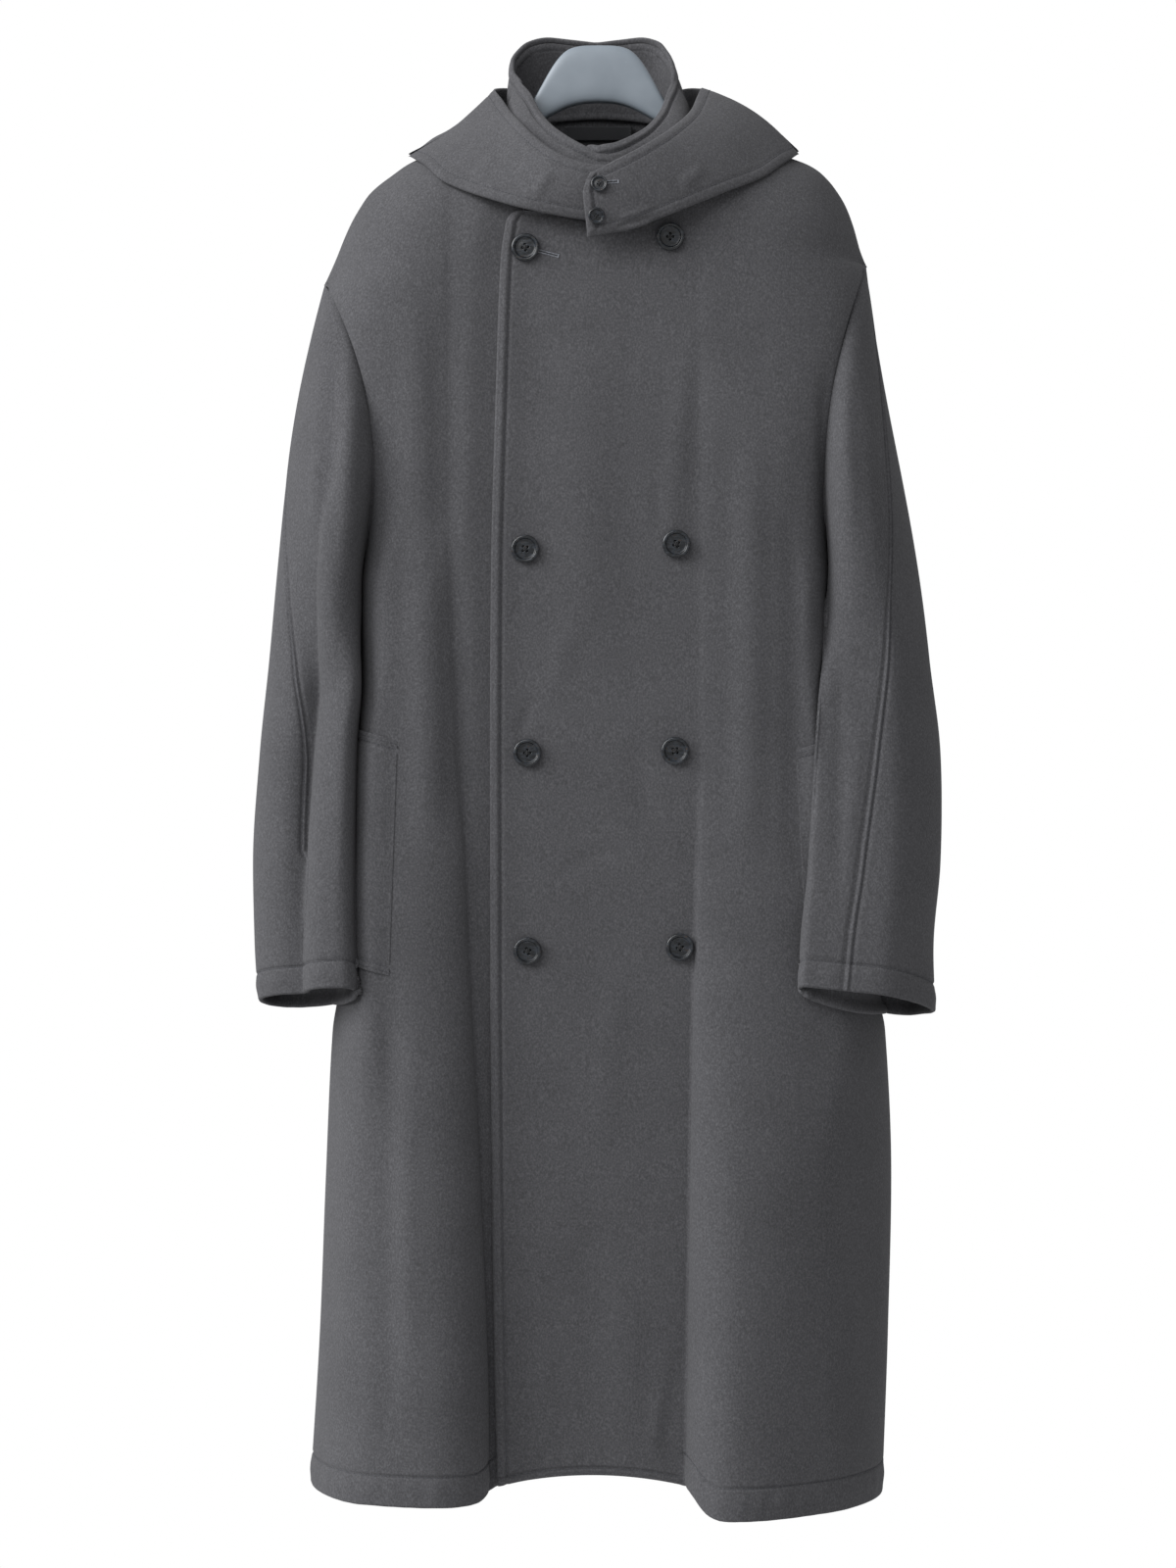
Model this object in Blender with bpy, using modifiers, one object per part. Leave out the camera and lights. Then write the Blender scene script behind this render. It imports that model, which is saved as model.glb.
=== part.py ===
"""Hooded double-breasted overcoat, buttoned up and hung on a flat moulded hanger.

Metres, +Z up, +X to the wearer's left, +Y to the back. The origin is the top of the hanger's crown.
The body, the sleeves and the hood are surfaces worked out from the tables below. Each cloth piece is
a grid laid on such a surface, and its wall grows from there to the inside of the garment.
"""

import math

import bmesh
import bpy
import numpy as np
from mathutils import Vector

RIGHT, LEFT = -1, 1
FRONT, BACK = -1, 1

# Cloth and seams
CLOTH = 0.0022
SEAM = 0.0004
SEAM_STRIP = 0.002  # width of the strip along a seam that keeps the wall square to it

# Body
HEM_Z = -1.320
HEM_LIFT, HEM_ARCH = 0.0195, 0.010  # the hem's rise at the centre front, and how much of it is an arch
HEM_LIFT_X, HEM_LIFT_HALF, HEM_LIFT_FADE = -0.006, 0.085, 0.018
HEM_LIFT_POWER = 5  # the rise dies out this fast up the skirt
UNDERARM_Z = -0.50
SIDE_Y = 0.03  # the side seams lie behind the shoulder line
FRONT_ROUND, BACK_ROUND = 0.13, 0.12  # drop over which front and back round away from the shoulder
FLATTEN, FLATTEN_HALF = 0.1, 0.25  # the front gets shallower towards the sides
NECK_HALF, NECK_Z = 0.085, -0.066
BACK_NECK_RISE = 0.016
CREST_RISE = {FRONT: 0.04, BACK: 0.115}  # the shoulder's rounding carried on over the neck opening
UNDERLAP_X = 0.06  # the under front ends here, past the centre
UNDERLAP_DROP, UNDERLAP_EASE = 0.0042, 0.03
UNDERLAP_TOP, UNDERLAP_FADE = -0.165, 0.04
CORNER = 0.012  # round top corner of the outer front

# Grids
HEM_ROWS = 13
NECK_COLUMNS, FLANK_COLUMNS, SIDE_COLUMNS = 8, 4, 9
FLANK_SHARE = 0.35  # of the shoulder, given to the columns that climb a fold lower down
BACK_NECK_COLUMNS, BACK_SIDE_COLUMNS = 5, 8
ARMHOLE_DEGREES = (180, 162, 144, 126, 108, 90, 72, 54, 36, 18, 3, 0)
SLEEVE_DEGREES = (0, 3, 18, 36, 54, 72, 90, 108, 126, 144, 162, 177, 180)
DENSE = 160  # points of a line before it is cut into even steps
SLOPE_STEP = 0.003  # over which a surface's slope is taken


def table(names, *rows):
    """Named columns from rows of numbers. The first column rises."""
    return dict(zip(names.split(), np.array(sorted(rows), float).T))


def read(columns, name, at):
    """A column as a smooth curve over the first one: a cubic that doesn't overshoot its rows."""
    place = next(iter(columns.values()))
    value = columns[name]
    step = np.diff(place)
    slope = np.diff(value) / step
    before, after = slope[:-1], slope[1:]
    same_way = before * after > 0
    mean = np.where(same_way, before + after, 1)
    turn = np.where(same_way, 2 * before * after / mean, 0)
    tangent = np.concatenate([slope[:1], turn, slope[-1:]])
    at = np.clip(at, place[0], place[-1])
    i = np.clip(np.searchsorted(place, at, side="right") - 1, 0, len(step) - 1)
    t = (at - place[i]) / step[i]
    ends = value[i] * (1 + 2 * t) * (1 - t) ** 2 + value[i + 1] * t * t * (3 - 2 * t)
    return ends + step[i] * t * (1 - t) * (tangent[i] * (1 - t) - tangent[i + 1] * t)


# Shoulder lines, from the neck point to the sleeve head
SHOULDER = table(
    "x right left",
    (0.085, -0.0660, -0.0660),
    (0.120, -0.0845, -0.0825),
    (0.150, -0.0985, -0.0945),
    (0.175, -0.1105, -0.1040),
    (0.190, -0.1210, -0.1095),
    (0.200, -0.1282, -0.1150),
    (0.210, -0.1372, -0.1240),
    (0.218, -0.1485, -0.1340),
    (0.226, -0.1620, -0.1470),
    (0.2335, -0.1780, -0.1660),
    (0.240, -0.1940, -0.1885),
    (0.246, -0.2075, -0.2030),
    (0.252, -0.2200, -0.2160),
)
# Neck edge of a front, x towards that front's own side
FRONT_NECK = table(
    "x z",
    (-0.085, -0.1705),
    (-0.040, -0.174),
    (0.000, -0.175),
    (0.030, -0.163),
    (0.055, -0.132),
    (0.075, -0.092),
    (0.085, -0.066),
)
# Half widths to the side seams, how far front and back stand from the shoulder line, rounding to the sides
BODY = table(
    "z right left front back round",
    (-0.20, 0.225, 0.225, 0.086, 0.088, 0.100),
    (-0.36, 0.216, 0.216, 0.090, 0.094, 0.060),
    (-0.50, 0.214, 0.216, 0.088, 0.096, 0.045),
    (-0.56, 0.220, 0.218, 0.087, 0.097, 0.060),
    (-0.65, 0.229, 0.223, 0.084, 0.099, 0.100),
    (-0.75, 0.233, 0.233, 0.080, 0.102, 0.125),
    (-0.86, 0.239, 0.254, 0.074, 0.106, 0.125),
    (-0.905, 0.246, 0.265, 0.072, 0.108, 0.115),
    (-1.04, 0.2526, 0.271, 0.066, 0.113, 0.095),
    (-1.18, 0.258, 0.268, 0.057, 0.119, 0.070),
    (-1.32, 0.2665, 0.263, 0.050, 0.124, 0.055),
)
# Free edge of the outer front
OVERLAP = table(
    "z x",
    (-0.17, -0.0804),
    (-0.21, -0.0859),
    (-0.33, -0.0902),
    (-0.50, -0.0946),
    (-0.67, -0.0955),
    (-0.85, -0.0955),
    (-1.00, -0.0945),
    (-1.20, -0.0925),
    (-1.30, -0.0905),
)
# The large folds of the skirt: one on each front, three on the back
FRONT_ROLLS = {
    RIGHT: table(
        "z crest inner outer height",
        (-0.45, 0.175, 0.040, 0.19, 0.003),
        (-0.60, 0.172, 0.045, 0.19, 0.010),
        (-0.80, 0.168, 0.050, 0.19, 0.022),
        (-1.00, 0.163, 0.055, 0.19, 0.036),
        (-1.20, 0.157, 0.057, 0.19, 0.050),
        (-1.32, 0.153, 0.054, 0.19, 0.058),
    ),
    LEFT: table(
        "z crest inner outer height",
        (-0.65, 0.140, 0.050, 0.16, 0.002),
        (-0.80, 0.132, 0.046, 0.16, 0.018),
        (-0.95, 0.125, 0.042, 0.16, 0.042),
        (-1.10, 0.121, 0.040, 0.16, 0.066),
        (-1.25, 0.118, 0.039, 0.16, 0.088),
        (-1.32, 0.116, 0.038, 0.16, 0.100),
    ),
}
BACK_ROLLS = table(
    "x half height start",
    (-0.125, 0.075, 0.030, -0.75),
    (0.015, 0.065, 0.024, -0.85),
    (0.140, 0.080, 0.034, -0.70),
)

# Armholes: sleeve head, underarm, and how far front and back edges curve in
ARMHOLE = {
    RIGHT: dict(head_x=0.252, head_z=-0.220, under_x=0.214, inset={FRONT: 0.0265, BACK: 0.015}),
    LEFT: dict(head_x=0.246, head_z=-0.203, under_x=0.216, inset={FRONT: 0.0185, BACK: 0.015}),
}
ARMHOLE_DEPTH = {FRONT: 0.085, BACK: 0.066}
SLEEVE_SEAM = {"head": 0.0016, "side": 0.0005}

# Sleeves: centre and half width across, centre and half depth, lean of the section, turn of the outer seam
SLEEVE = {
    RIGHT: table(
        "z centre_x half_x centre_y half_y lean turn",
        (-0.22, 0.2520, 0.040, -0.030, 0.063, 0.027, 0),
        (-0.40, 0.2540, 0.0330, -0.030, 0.063, 0.027, 8),
        (-0.50, 0.2555, 0.0390, -0.030, 0.063, 0.027, 24),
        (-0.56, 0.2575, 0.044, -0.030, 0.063, 0.027, 52),
        (-0.65, 0.2635, 0.047, -0.032, 0.063, 0.027, 88),
        (-0.75, 0.2670, 0.0495, -0.034, 0.062, 0.027, 95),
        (-0.82, 0.2660, 0.0490, -0.035, 0.060, 0.027, 95),
        (-0.90, 0.2610, 0.0485, -0.036, 0.058, 0.027, 95),
    ),
    LEFT: table(
        "z centre_x half_x centre_y half_y lean turn",
        (-0.203, 0.2500, 0.048, -0.030, 0.058, 0.031, 0),
        (-0.40, 0.2440, 0.0340, -0.030, 0.058, 0.031, 38),
        (-0.50, 0.2485, 0.0455, -0.030, 0.058, 0.031, 63),
        (-0.56, 0.2525, 0.0505, -0.032, 0.058, 0.031, 68),
        (-0.65, 0.2525, 0.0605, -0.038, 0.058, 0.031, 80),
        (-0.75, 0.2490, 0.0630, -0.047, 0.058, 0.031, 88),
        (-0.82, 0.2420, 0.0630, -0.055, 0.058, 0.031, 90),
        (-0.90, 0.2400, 0.0670, -0.060, 0.058, 0.031, 91),
    ),
}
# One long hollow down each sleeve: its place and half width in degrees, and its share of the radius
SLEEVE_HOLLOW = {
    RIGHT: dict(degrees=72, half=30, depth=0.30),
    LEFT: dict(degrees=-22, half=34, depth=0.10),
}
HOLLOW_START, HOLLOW_FULL = -0.42, -0.62
SLEEVE_FULL_Z, SLEEVE_UNDER_DROP = -0.56, 0.05  # the sleeve has its full section from here on
CUFF = {
    RIGHT: dict(z=-0.870, slope_x=0.0, middle_x=0.26, slope_y=0.2, middle_y=-0.035),
    LEFT: dict(z=-0.872, slope_x=0.1, middle_x=0.25, slope_y=0.2, middle_y=-0.060),
}
INNER_SEAM_TURN = 32  # degrees, to the back and against the body
CAP_STEPS = (0, 0.04, 0.16, 0.32, 0.5, 0.68, 0.84)
CAP_REACH = 0.4
# How the cloth leaves the armhole: sideways at the head, more so and less steeply at front and back
CAP_LEAVE = dict(head={RIGHT: 0.17, LEFT: 0.10}, side=0.35, front=0.30, back=0.08, up=0.2)
ARM_ROWS = 8
SLEEVE_CLEAR, SLEEVE_GIVE, CLEAR_STEP = 0.011, 0.003, 0.35  # where the sleeve lies over the front
LEAST_GIVE = 1e-6
SLEEVE_BESIDE, SLEEVE_BESIDE_HALF = 0.0024, 0.046  # clear of the side seam, and how far to each side of it

# Stand collar: an upright strip whose ends pass each other at the centre front
COLLAR_START, COLLAR_END = -370, 16  # degrees round the neck, 0 at the centre front
COLLAR_COLUMNS, COLLAR_ROWS = 44, 4
COLLAR_INSET = 0.0009
COLLAR_RAISE = {FRONT: 0.0024, BACK: 0.0007}
COLLAR_PASS, COLLAR_PASS_EASE = 0.0019, 30
COLLAR_RIM = table(
    "degrees x lean y z",
    (0, 0.0000, 0.0000, -0.0850, -0.1180),
    (30, 0.0350, 0.0000, -0.0748, -0.1047),
    (60, 0.0620, 0.0000, -0.0467, -0.0714),
    (75, 0.0720, -0.0005, -0.0260, -0.0510),
    (90, 0.0815, -0.0015, -0.0040, -0.0330),
    (103, 0.0845, -0.0035, 0.0160, -0.0225),
    (117, 0.0795, -0.0055, 0.0330, -0.0125),
    (131, 0.0735, -0.0060, 0.0480, 0.0035),
    (145, 0.0680, -0.0050, 0.0585, 0.0140),
    (160, 0.0530, -0.0010, 0.0655, 0.0220),
    (180, 0.0000, 0.0000, 0.0680, 0.0200),
)
COLLAR_BULGE = 0.003

# Hood: along its edge (0 at the latch, 1 at the centre back), the lower edge, the face edge, and how far
# the cloth between them bulges out and sags
HOOD_NAMES = "along hem_x hem_y hem_z face_x face_y face_z bulge sag"
HOOD_BACK = (
    (0.66, 0.162, 0.035, -0.110, 0.098, 0.045, -0.042, 0.006, 0.07),
    (0.77, 0.118, 0.058, -0.103, 0.092, 0.095, -0.056, 0.006, 0.175),
    (0.88, 0.062, 0.088, -0.080, 0.055, 0.132, -0.072, 0.006, 0.235),
    (1.00, 0.000, 0.094, -0.074, 0.000, 0.145, -0.080, 0.006, 0.25),
    (1.12, -0.062, 0.088, -0.080, -0.055, 0.132, -0.072, 0.006, 0.235),
)
HOOD = {
    LEFT: table(
        HOOD_NAMES,
        (0.00, -0.0085, -0.1130, -0.1935, -0.0150, -0.117, -0.1420, 0.006, 0),
        (0.12, 0.0300, -0.1135, -0.1845, 0.0120, -0.114, -0.1285, 0.006, 0),
        (0.24, 0.0620, -0.1100, -0.1720, 0.0380, -0.103, -0.1130, 0.006, 0),
        (0.36, 0.1080, -0.0920, -0.1500, 0.0640, -0.078, -0.0920, 0.007, 0),
        (0.47, 0.1490, -0.0620, -0.1290, 0.0850, -0.040, -0.0660, 0.007, 0),
        (0.56, 0.1830, -0.0120, -0.1025, 0.0945, 0.002, -0.0380, 0.006, 0),
        *HOOD_BACK,
    ),
    RIGHT: table(
        HOOD_NAMES,
        (0.00, -0.0120, -0.1040, -0.1790, -0.0145, -0.1040, -0.1310, 0.006, 0),
        (0.12, 0.0169, -0.1045, -0.1755, 0.0100, -0.1035, -0.1285, 0.006, 0),
        (0.24, 0.0577, -0.1040, -0.1676, 0.0360, -0.0965, -0.1180, 0.006, 0),
        (0.36, 0.0970, -0.0940, -0.1548, 0.0600, -0.0750, -0.0970, 0.005, 0),
        (0.47, 0.1422, -0.0600, -0.1326, 0.0830, -0.0360, -0.0660, 0.001, 0),
        (0.56, 0.1740, -0.0130, -0.1070, 0.0950, 0.0020, -0.0410, -0.003, 0),
        *HOOD_BACK,
    ),
}
HOOD_COLUMNS = 10
THROAT_STEPS = (0, 0.06, 0.12, 0.18, 0.24, 0.30, 0.36, 0.42, 0.48, 0.53, 0.5545, 0.5595)
POUCH_STEPS = (0.5605, 0.5655, 0.60, 0.645, 0.70, 0.755, 0.815, 0.875, 0.935, 0.995)
HOOD_FULL_SAG = 0.12
HOOD_REACH_IN, HOOD_REACH_OUT = 0.012, 0.055
HOOD_CLEAR = {FRONT: 0.010, BACK: 0.019}
HOOD_CLEAR_EDGE = {FRONT: 0.0076, BACK: 0.013}
HOOD_CLEAR_SHARE = 0.3  # of the way in from the edge, to the full clearance
SHOULDER_TOP = 0.05  # within this of the shoulder line the hood is kept clear upwards, past it outwards

# Pocket welts, from the inner edge towards the side
WELT = {
    RIGHT: dict(top=(0.1797, -0.6405), bottom=(0.187, -0.848)),
    LEFT: dict(top=(0.1767, -0.648), bottom=(0.186, -0.850)),
}
WELT_WIDTH, WELT_RISE, WELT_LIFT = 0.026, 0.008, 0.0015
WELT_ROWS, WELT_COLUMNS = 8, 4

# Turned buttons: the profile from the middle of the face to the middle of the underside
BUTTON_PROFILE = ((0, 0.62), (0.62, 0.52), (0.76, 0.94), (0.90, 1.0), (1.0, 0.62), (0.88, 0), (0, 0))
BUTTON_HEIGHT, THROAT_BUTTON_HEIGHT = 0.0045, 0.0032
BUTTON_RADIUS, THROAT_BUTTON_RADIUS = 0.0125, 0.0073
BUTTON_TURNS = 14
BUTTON_LIFT = 0.0010
BUTTON_MERGE = 0.00001  # at the middle of the face and of the underside
FRONT_BUTTONS = dict(
    right_1=(-0.0658, -0.1993),
    right_2=(-0.0658, -0.4682),
    right_3=(-0.0640, -0.6498),
    right_4=(-0.0640, -0.8270),
    left_1=(0.0634, -0.1897),
    left_2=(0.0687, -0.4638),
    left_3=(0.0678, -0.6480),
    left_4=(0.0722, -0.8235),
)
THROAT_BUTTONS = dict(upper=(0.050, 0.77), lower=(0.027, 0.29))  # along the hood's edge, and up from it
PATCH_STEP, PATCH_COLUMNS = 0.01, 100  # the fine piece of the hood under a throat button

# Label inside the back neck
LABEL_HALF, LABEL_TOP, LABEL_BOTTOM = 0.0315, -0.058, -0.070
LABEL_THICK, LABEL_GAP = 0.0010, 0.0020
LABEL_COLUMNS, LABEL_ROWS = 8, 2

# Hanger: a flat strip, its top and bottom edges
HANGER = table(
    "x top bottom",
    (0.0, 0.0, -0.0513),
    (0.0225, -0.0005, -0.0540),
    (0.0335, -0.0110, -0.0570),
    (0.0445, -0.0265, -0.0620),
    (0.0575, -0.0480, -0.0700),
    (0.0800, -0.0720, -0.0930),
    (0.1000, -0.0785, -0.1020),
    (0.1200, -0.0885, -0.1110),
    (0.1600, -0.1070, -0.1270),
    (0.1900, -0.1250, -0.1420),
)
HANGER_THICK, HANGER_ROUND = 0.016, 0.004
HANGER_COLUMNS = 26

LOOKS = dict(
    wool=((0.050, 0.051, 0.055), 0.95, 0.0),
    horn=((0.020, 0.022, 0.027), 0.35, 0.0),
    label=((0.012, 0.012, 0.014), 0.80, 0.0),
    plastic=((0.210, 0.225, 0.250), 0.42, 0.0),
)


def arc(t):
    """Height of a quarter circle of radius 1, from 0 at its foot to 1."""
    return np.sqrt(1 - (1 - np.clip(t, 0, 1)) ** 2)


def ease(t):
    """A smooth step from 0 to 1."""
    t = np.clip(t, 0, 1)
    return t * t * (3 - 2 * t)


def bump(t):
    """A raised cosine: 1 at 0, level with 0 from 1 on."""
    return 0.5 + 0.5 * np.cos(math.pi * np.clip(np.abs(t), 0, 1))


def mix(a, b, t):
    return a + (b - a) * t


def bezier(a, b, c, d, t):
    return a * (1 - t) ** 3 + 3 * b * t * (1 - t) ** 2 + 3 * c * t * t * (1 - t) + d * t**3


def armhole(side, angle, face):
    """x, y and z of the armhole edge: angle 0 at the sleeve head, pi at the underarm."""
    hole = ARMHOLE[side]
    across = np.cos(angle)
    depth = np.sin(angle)
    middle_x, half_x = (hole["head_x"] + hole["under_x"]) / 2, (hole["head_x"] - hole["under_x"]) / 2
    middle_z, half_z = (hole["head_z"] + UNDERARM_Z) / 2, (hole["head_z"] - UNDERARM_Z) / 2
    x = middle_x + half_x * across - hole["inset"][face] * depth**2
    y = SIDE_Y * (1 - across) / 2 + face * ARMHOLE_DEPTH[face] * depth
    return side * x, y, middle_z + half_z * across


def edge(x, z, face):
    """Half width and y of the body's edge on x's side: the armhole, or the side seam below it."""
    widths, depths = [], []
    for side, column in ((RIGHT, "right"), (LEFT, "left")):
        head_z = ARMHOLE[side]["head_z"]
        rise = (np.clip(z, UNDERARM_Z, head_z) - UNDERARM_Z) / (head_z - UNDERARM_Z)
        hole_x, hole_y, _ = armhole(side, np.arccos(2 * rise - 1), face)
        widths.append(np.where(z < UNDERARM_Z, read(BODY, column, z), np.abs(hole_x)))
        depths.append(hole_y)
    return np.where(x < 0, *widths), np.where(x < 0, *depths)


def shoulder(x):
    """Height of the shoulder line on x's side."""
    return np.where(x < 0, read(SHOULDER, "right", np.abs(x)), read(SHOULDER, "left", np.abs(x)))


def crest(x, face):
    """Height from which the body rounds away: the shoulder line, carried on over the neck opening."""
    over_neck = NECK_Z + CREST_RISE[face] * (1 - (x / NECK_HALF) ** 2)
    return np.where(np.abs(x) < NECK_HALF, over_neck, shoulder(x))


def front_rolls(x, z):
    total = 0
    for side, roll in FRONT_ROLLS.items():
        out = side * x - read(roll, "crest", z)
        inner = arc(1 + out / read(roll, "inner", z))
        outer = bump(out / read(roll, "outer", z))
        total = total + read(roll, "height", z) * np.where(out < 0, inner, outer)
    return total


def fold_foot(side, z):
    """Where the fold of a front begins, on that front's own side."""
    roll = FRONT_ROLLS[side]
    return read(roll, "crest", z) - read(roll, "inner", z)


def back_rolls(x, z):
    total = 0
    for i, middle in enumerate(BACK_ROLLS["x"]):
        start = BACK_ROLLS["start"][i]
        growth = ease((start - z) / (start - HEM_Z))
        total = total + BACK_ROLLS["height"][i] * growth * bump((x - middle) / BACK_ROLLS["half"][i])
    return total


def body_y(x, z, face):
    """y of the body's outside: level across the front or back, rounded to the shoulders and the sides."""
    half, rim = edge(x, z, face)
    if face == FRONT:
        depth = read(BODY, "front", z) * (1 - FLATTEN * (x / FLATTEN_HALF) ** 2)
        depth = depth * arc((crest(x, FRONT) - z) / FRONT_ROUND) + front_rolls(x, z)
    else:
        depth = read(BODY, "back", z) * (1 - FLATTEN * (x / FLATTEN_HALF) ** 2)
        depth = depth * arc((crest(x, BACK) - z) / BACK_ROUND) + back_rolls(x, z)
    return rim + (face * depth - rim) * arc((half - np.abs(x)) / read(BODY, "round", z))


def shoulder_top(x, y):
    """Height of the coat over the shoulder, y before or behind the shoulder line."""
    depth = np.where(y < 0, BODY["front"][-1], BODY["back"][-1])
    drop = np.where(y < 0, FRONT_ROUND, BACK_ROUND)
    return shoulder(x) - drop * (1 - np.sqrt(1 - np.clip(y / depth, -1, 1) ** 2))


def body_frame(x, z, face):
    """A point of the body's outside and the unit normal there."""
    point = Vector((x, float(body_y(x, z, face)), z))
    along = Vector((SLOPE_STEP, float(body_y(x + SLOPE_STEP, z, face)) - point.y, 0))
    up = Vector((0, float(body_y(x, z + SLOPE_STEP, face)) - point.y, SLOPE_STEP))
    return point, (along.cross(up) * -face).normalized()


def resample(line, count, strips=(0, 0)):
    """count + 1 points at even steps along a line of points, and one more near an end that has a strip."""
    step = np.linalg.norm(np.diff(line, axis=0), axis=1)
    run = np.concatenate([[0], np.cumsum(step)])
    at = np.linspace(0, run[-1], count + 1)
    first, last = strips
    at = np.concatenate([at[:1], [first] * bool(first), at[1:-1], [run[-1] - last] * bool(last), at[-1:]])
    return np.stack([np.interp(at, run, axis) for axis in line.T], axis=1)


def add_object(name, mesh, look):
    """An object of that mesh in the coat's collection, with a material of its own."""
    colour, roughness, metallic = LOOKS[look]
    material = bpy.data.materials.new(name)
    material.use_nodes = True
    shader = material.node_tree.nodes["Principled BSDF"]
    shader.inputs["Base Color"].default_value = (*colour, 1)
    shader.inputs["Roughness"].default_value = roughness
    shader.inputs["Metallic"].default_value = metallic
    mesh.materials.append(material)
    mesh.shade_smooth()
    obj = bpy.data.objects.new(name, mesh)
    coat.objects.link(obj)
    return obj


def sheet(name, points, look="wool", thick=CLOTH):
    """A grid moved to points (rows, columns, xyz), with a wall behind it. Columns x rows is outwards."""
    rows, columns, _ = points.shape
    grid = bmesh.new()
    bmesh.ops.create_grid(grid, x_segments=columns - 1, y_segments=rows - 1, size=1)
    for vert, place in zip(grid.verts, points.reshape(-1, 3)):
        vert.co = place
    mesh = bpy.data.meshes.new(name)
    grid.to_mesh(mesh)
    grid.free()
    obj = add_object(name, mesh, look)
    wall = obj.modifiers.new("wall", "SOLIDIFY")
    wall.thickness = thick
    wall.offset = -1
    return obj


def panel_levels():
    """For each row of a panel: its height share from hem to underarm, or its armhole angle above that."""
    below = [(share, math.pi) for share in np.linspace(0, 1, HEM_ROWS + 1)]
    above = [(1, math.radians(degrees)) for degrees in ARMHOLE_DEGREES[1:]]
    return below + above


def hem_lift(x, z):
    """Rise of the centre front's hem, fading out over the skirt."""
    off = np.abs(x - HEM_LIFT_X)
    rise = HEM_LIFT - HEM_ARCH * (off / HEM_LIFT_HALF) ** 2
    inside = 1 - ease((off - HEM_LIFT_HALF) / HEM_LIFT_FADE)
    return rise * inside * ((UNDERARM_Z - z) / (UNDERARM_Z - HEM_Z)).clip(0, 1) ** HEM_LIFT_POWER


def front_points(side):
    """Grid of one front, from its free edge to the armhole and side seam. Columns run along own x."""
    hole = ARMHOLE[side]
    span = hole["head_z"] - UNDERARM_Z
    corner_x = read(OVERLAP, "x", hole["head_z"]) if side == LEFT else -UNDERLAP_X
    rows = []
    for share, angle in panel_levels():
        edge_x, _, edge_z = armhole(side, angle, FRONT)
        if share < 1:
            edge_z = mix(HEM_Z, UNDERARM_Z, share)
            edge_x = side * edge(side, edge_z, FRONT)[0]
        raised = ((edge_z - UNDERARM_Z) / span) ** 2 if edge_z > UNDERARM_Z else 0
        inner_z = edge_z + raised * (FRONT_NECK["z"][0] - hole["head_z"])
        inner_x = read(OVERLAP, "x", inner_z) if side == LEFT else -UNDERLAP_X
        outer_x = side * edge_x
        fold_x = mix(fold_foot(side, edge_z), NECK_HALF, raised)
        crest_top = mix(NECK_HALF, hole["head_x"], FLANK_SHARE)
        crest_x = mix(read(FRONT_ROLLS[side], "crest", edge_z), crest_top, raised)
        spans = (
            (inner_x, fold_x, corner_x, NECK_HALF),
            (fold_x, crest_x, NECK_HALF, crest_top),
            (crest_x, outer_x, crest_top, hole["head_x"]),
        )
        line = []
        for start, end, top_start, top_end in spans:
            t = bump(np.linspace(1, 0, DENSE))
            x, top_x = mix(start, end, t), mix(top_start, top_end, t)
            top = shoulder(side * np.abs(top_x))
            top = np.where(top_x < NECK_HALF, read(FRONT_NECK, "z", top_x), top)
            if side == LEFT:
                top = top - CORNER * (1 - arc((top_x - corner_x) / CORNER))
            z = edge_z + raised * (top - hole["head_z"])
            z = z + hem_lift(side * x, z)
            y = body_y(side * x, z, FRONT)
            if side == RIGHT:
                free = read(OVERLAP, "x", z)
                under = ease(1 - (free + x) / UNDERLAP_EASE)
                y = y + UNDERLAP_DROP * under * ease(1 + (UNDERLAP_TOP - z) / UNDERLAP_FADE)
            line.append(np.stack([side * x, y - SEAM / 2, z], axis=1))
        neck, flank = resample(line[0], NECK_COLUMNS), resample(line[1], FLANK_COLUMNS)
        rest = resample(line[2], SIDE_COLUMNS, (0, SEAM_STRIP))
        rows.append(np.concatenate([neck, flank[1:], rest[1:]]))
    points = np.array(rows)
    return points if side == LEFT else points[:, ::-1]


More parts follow.
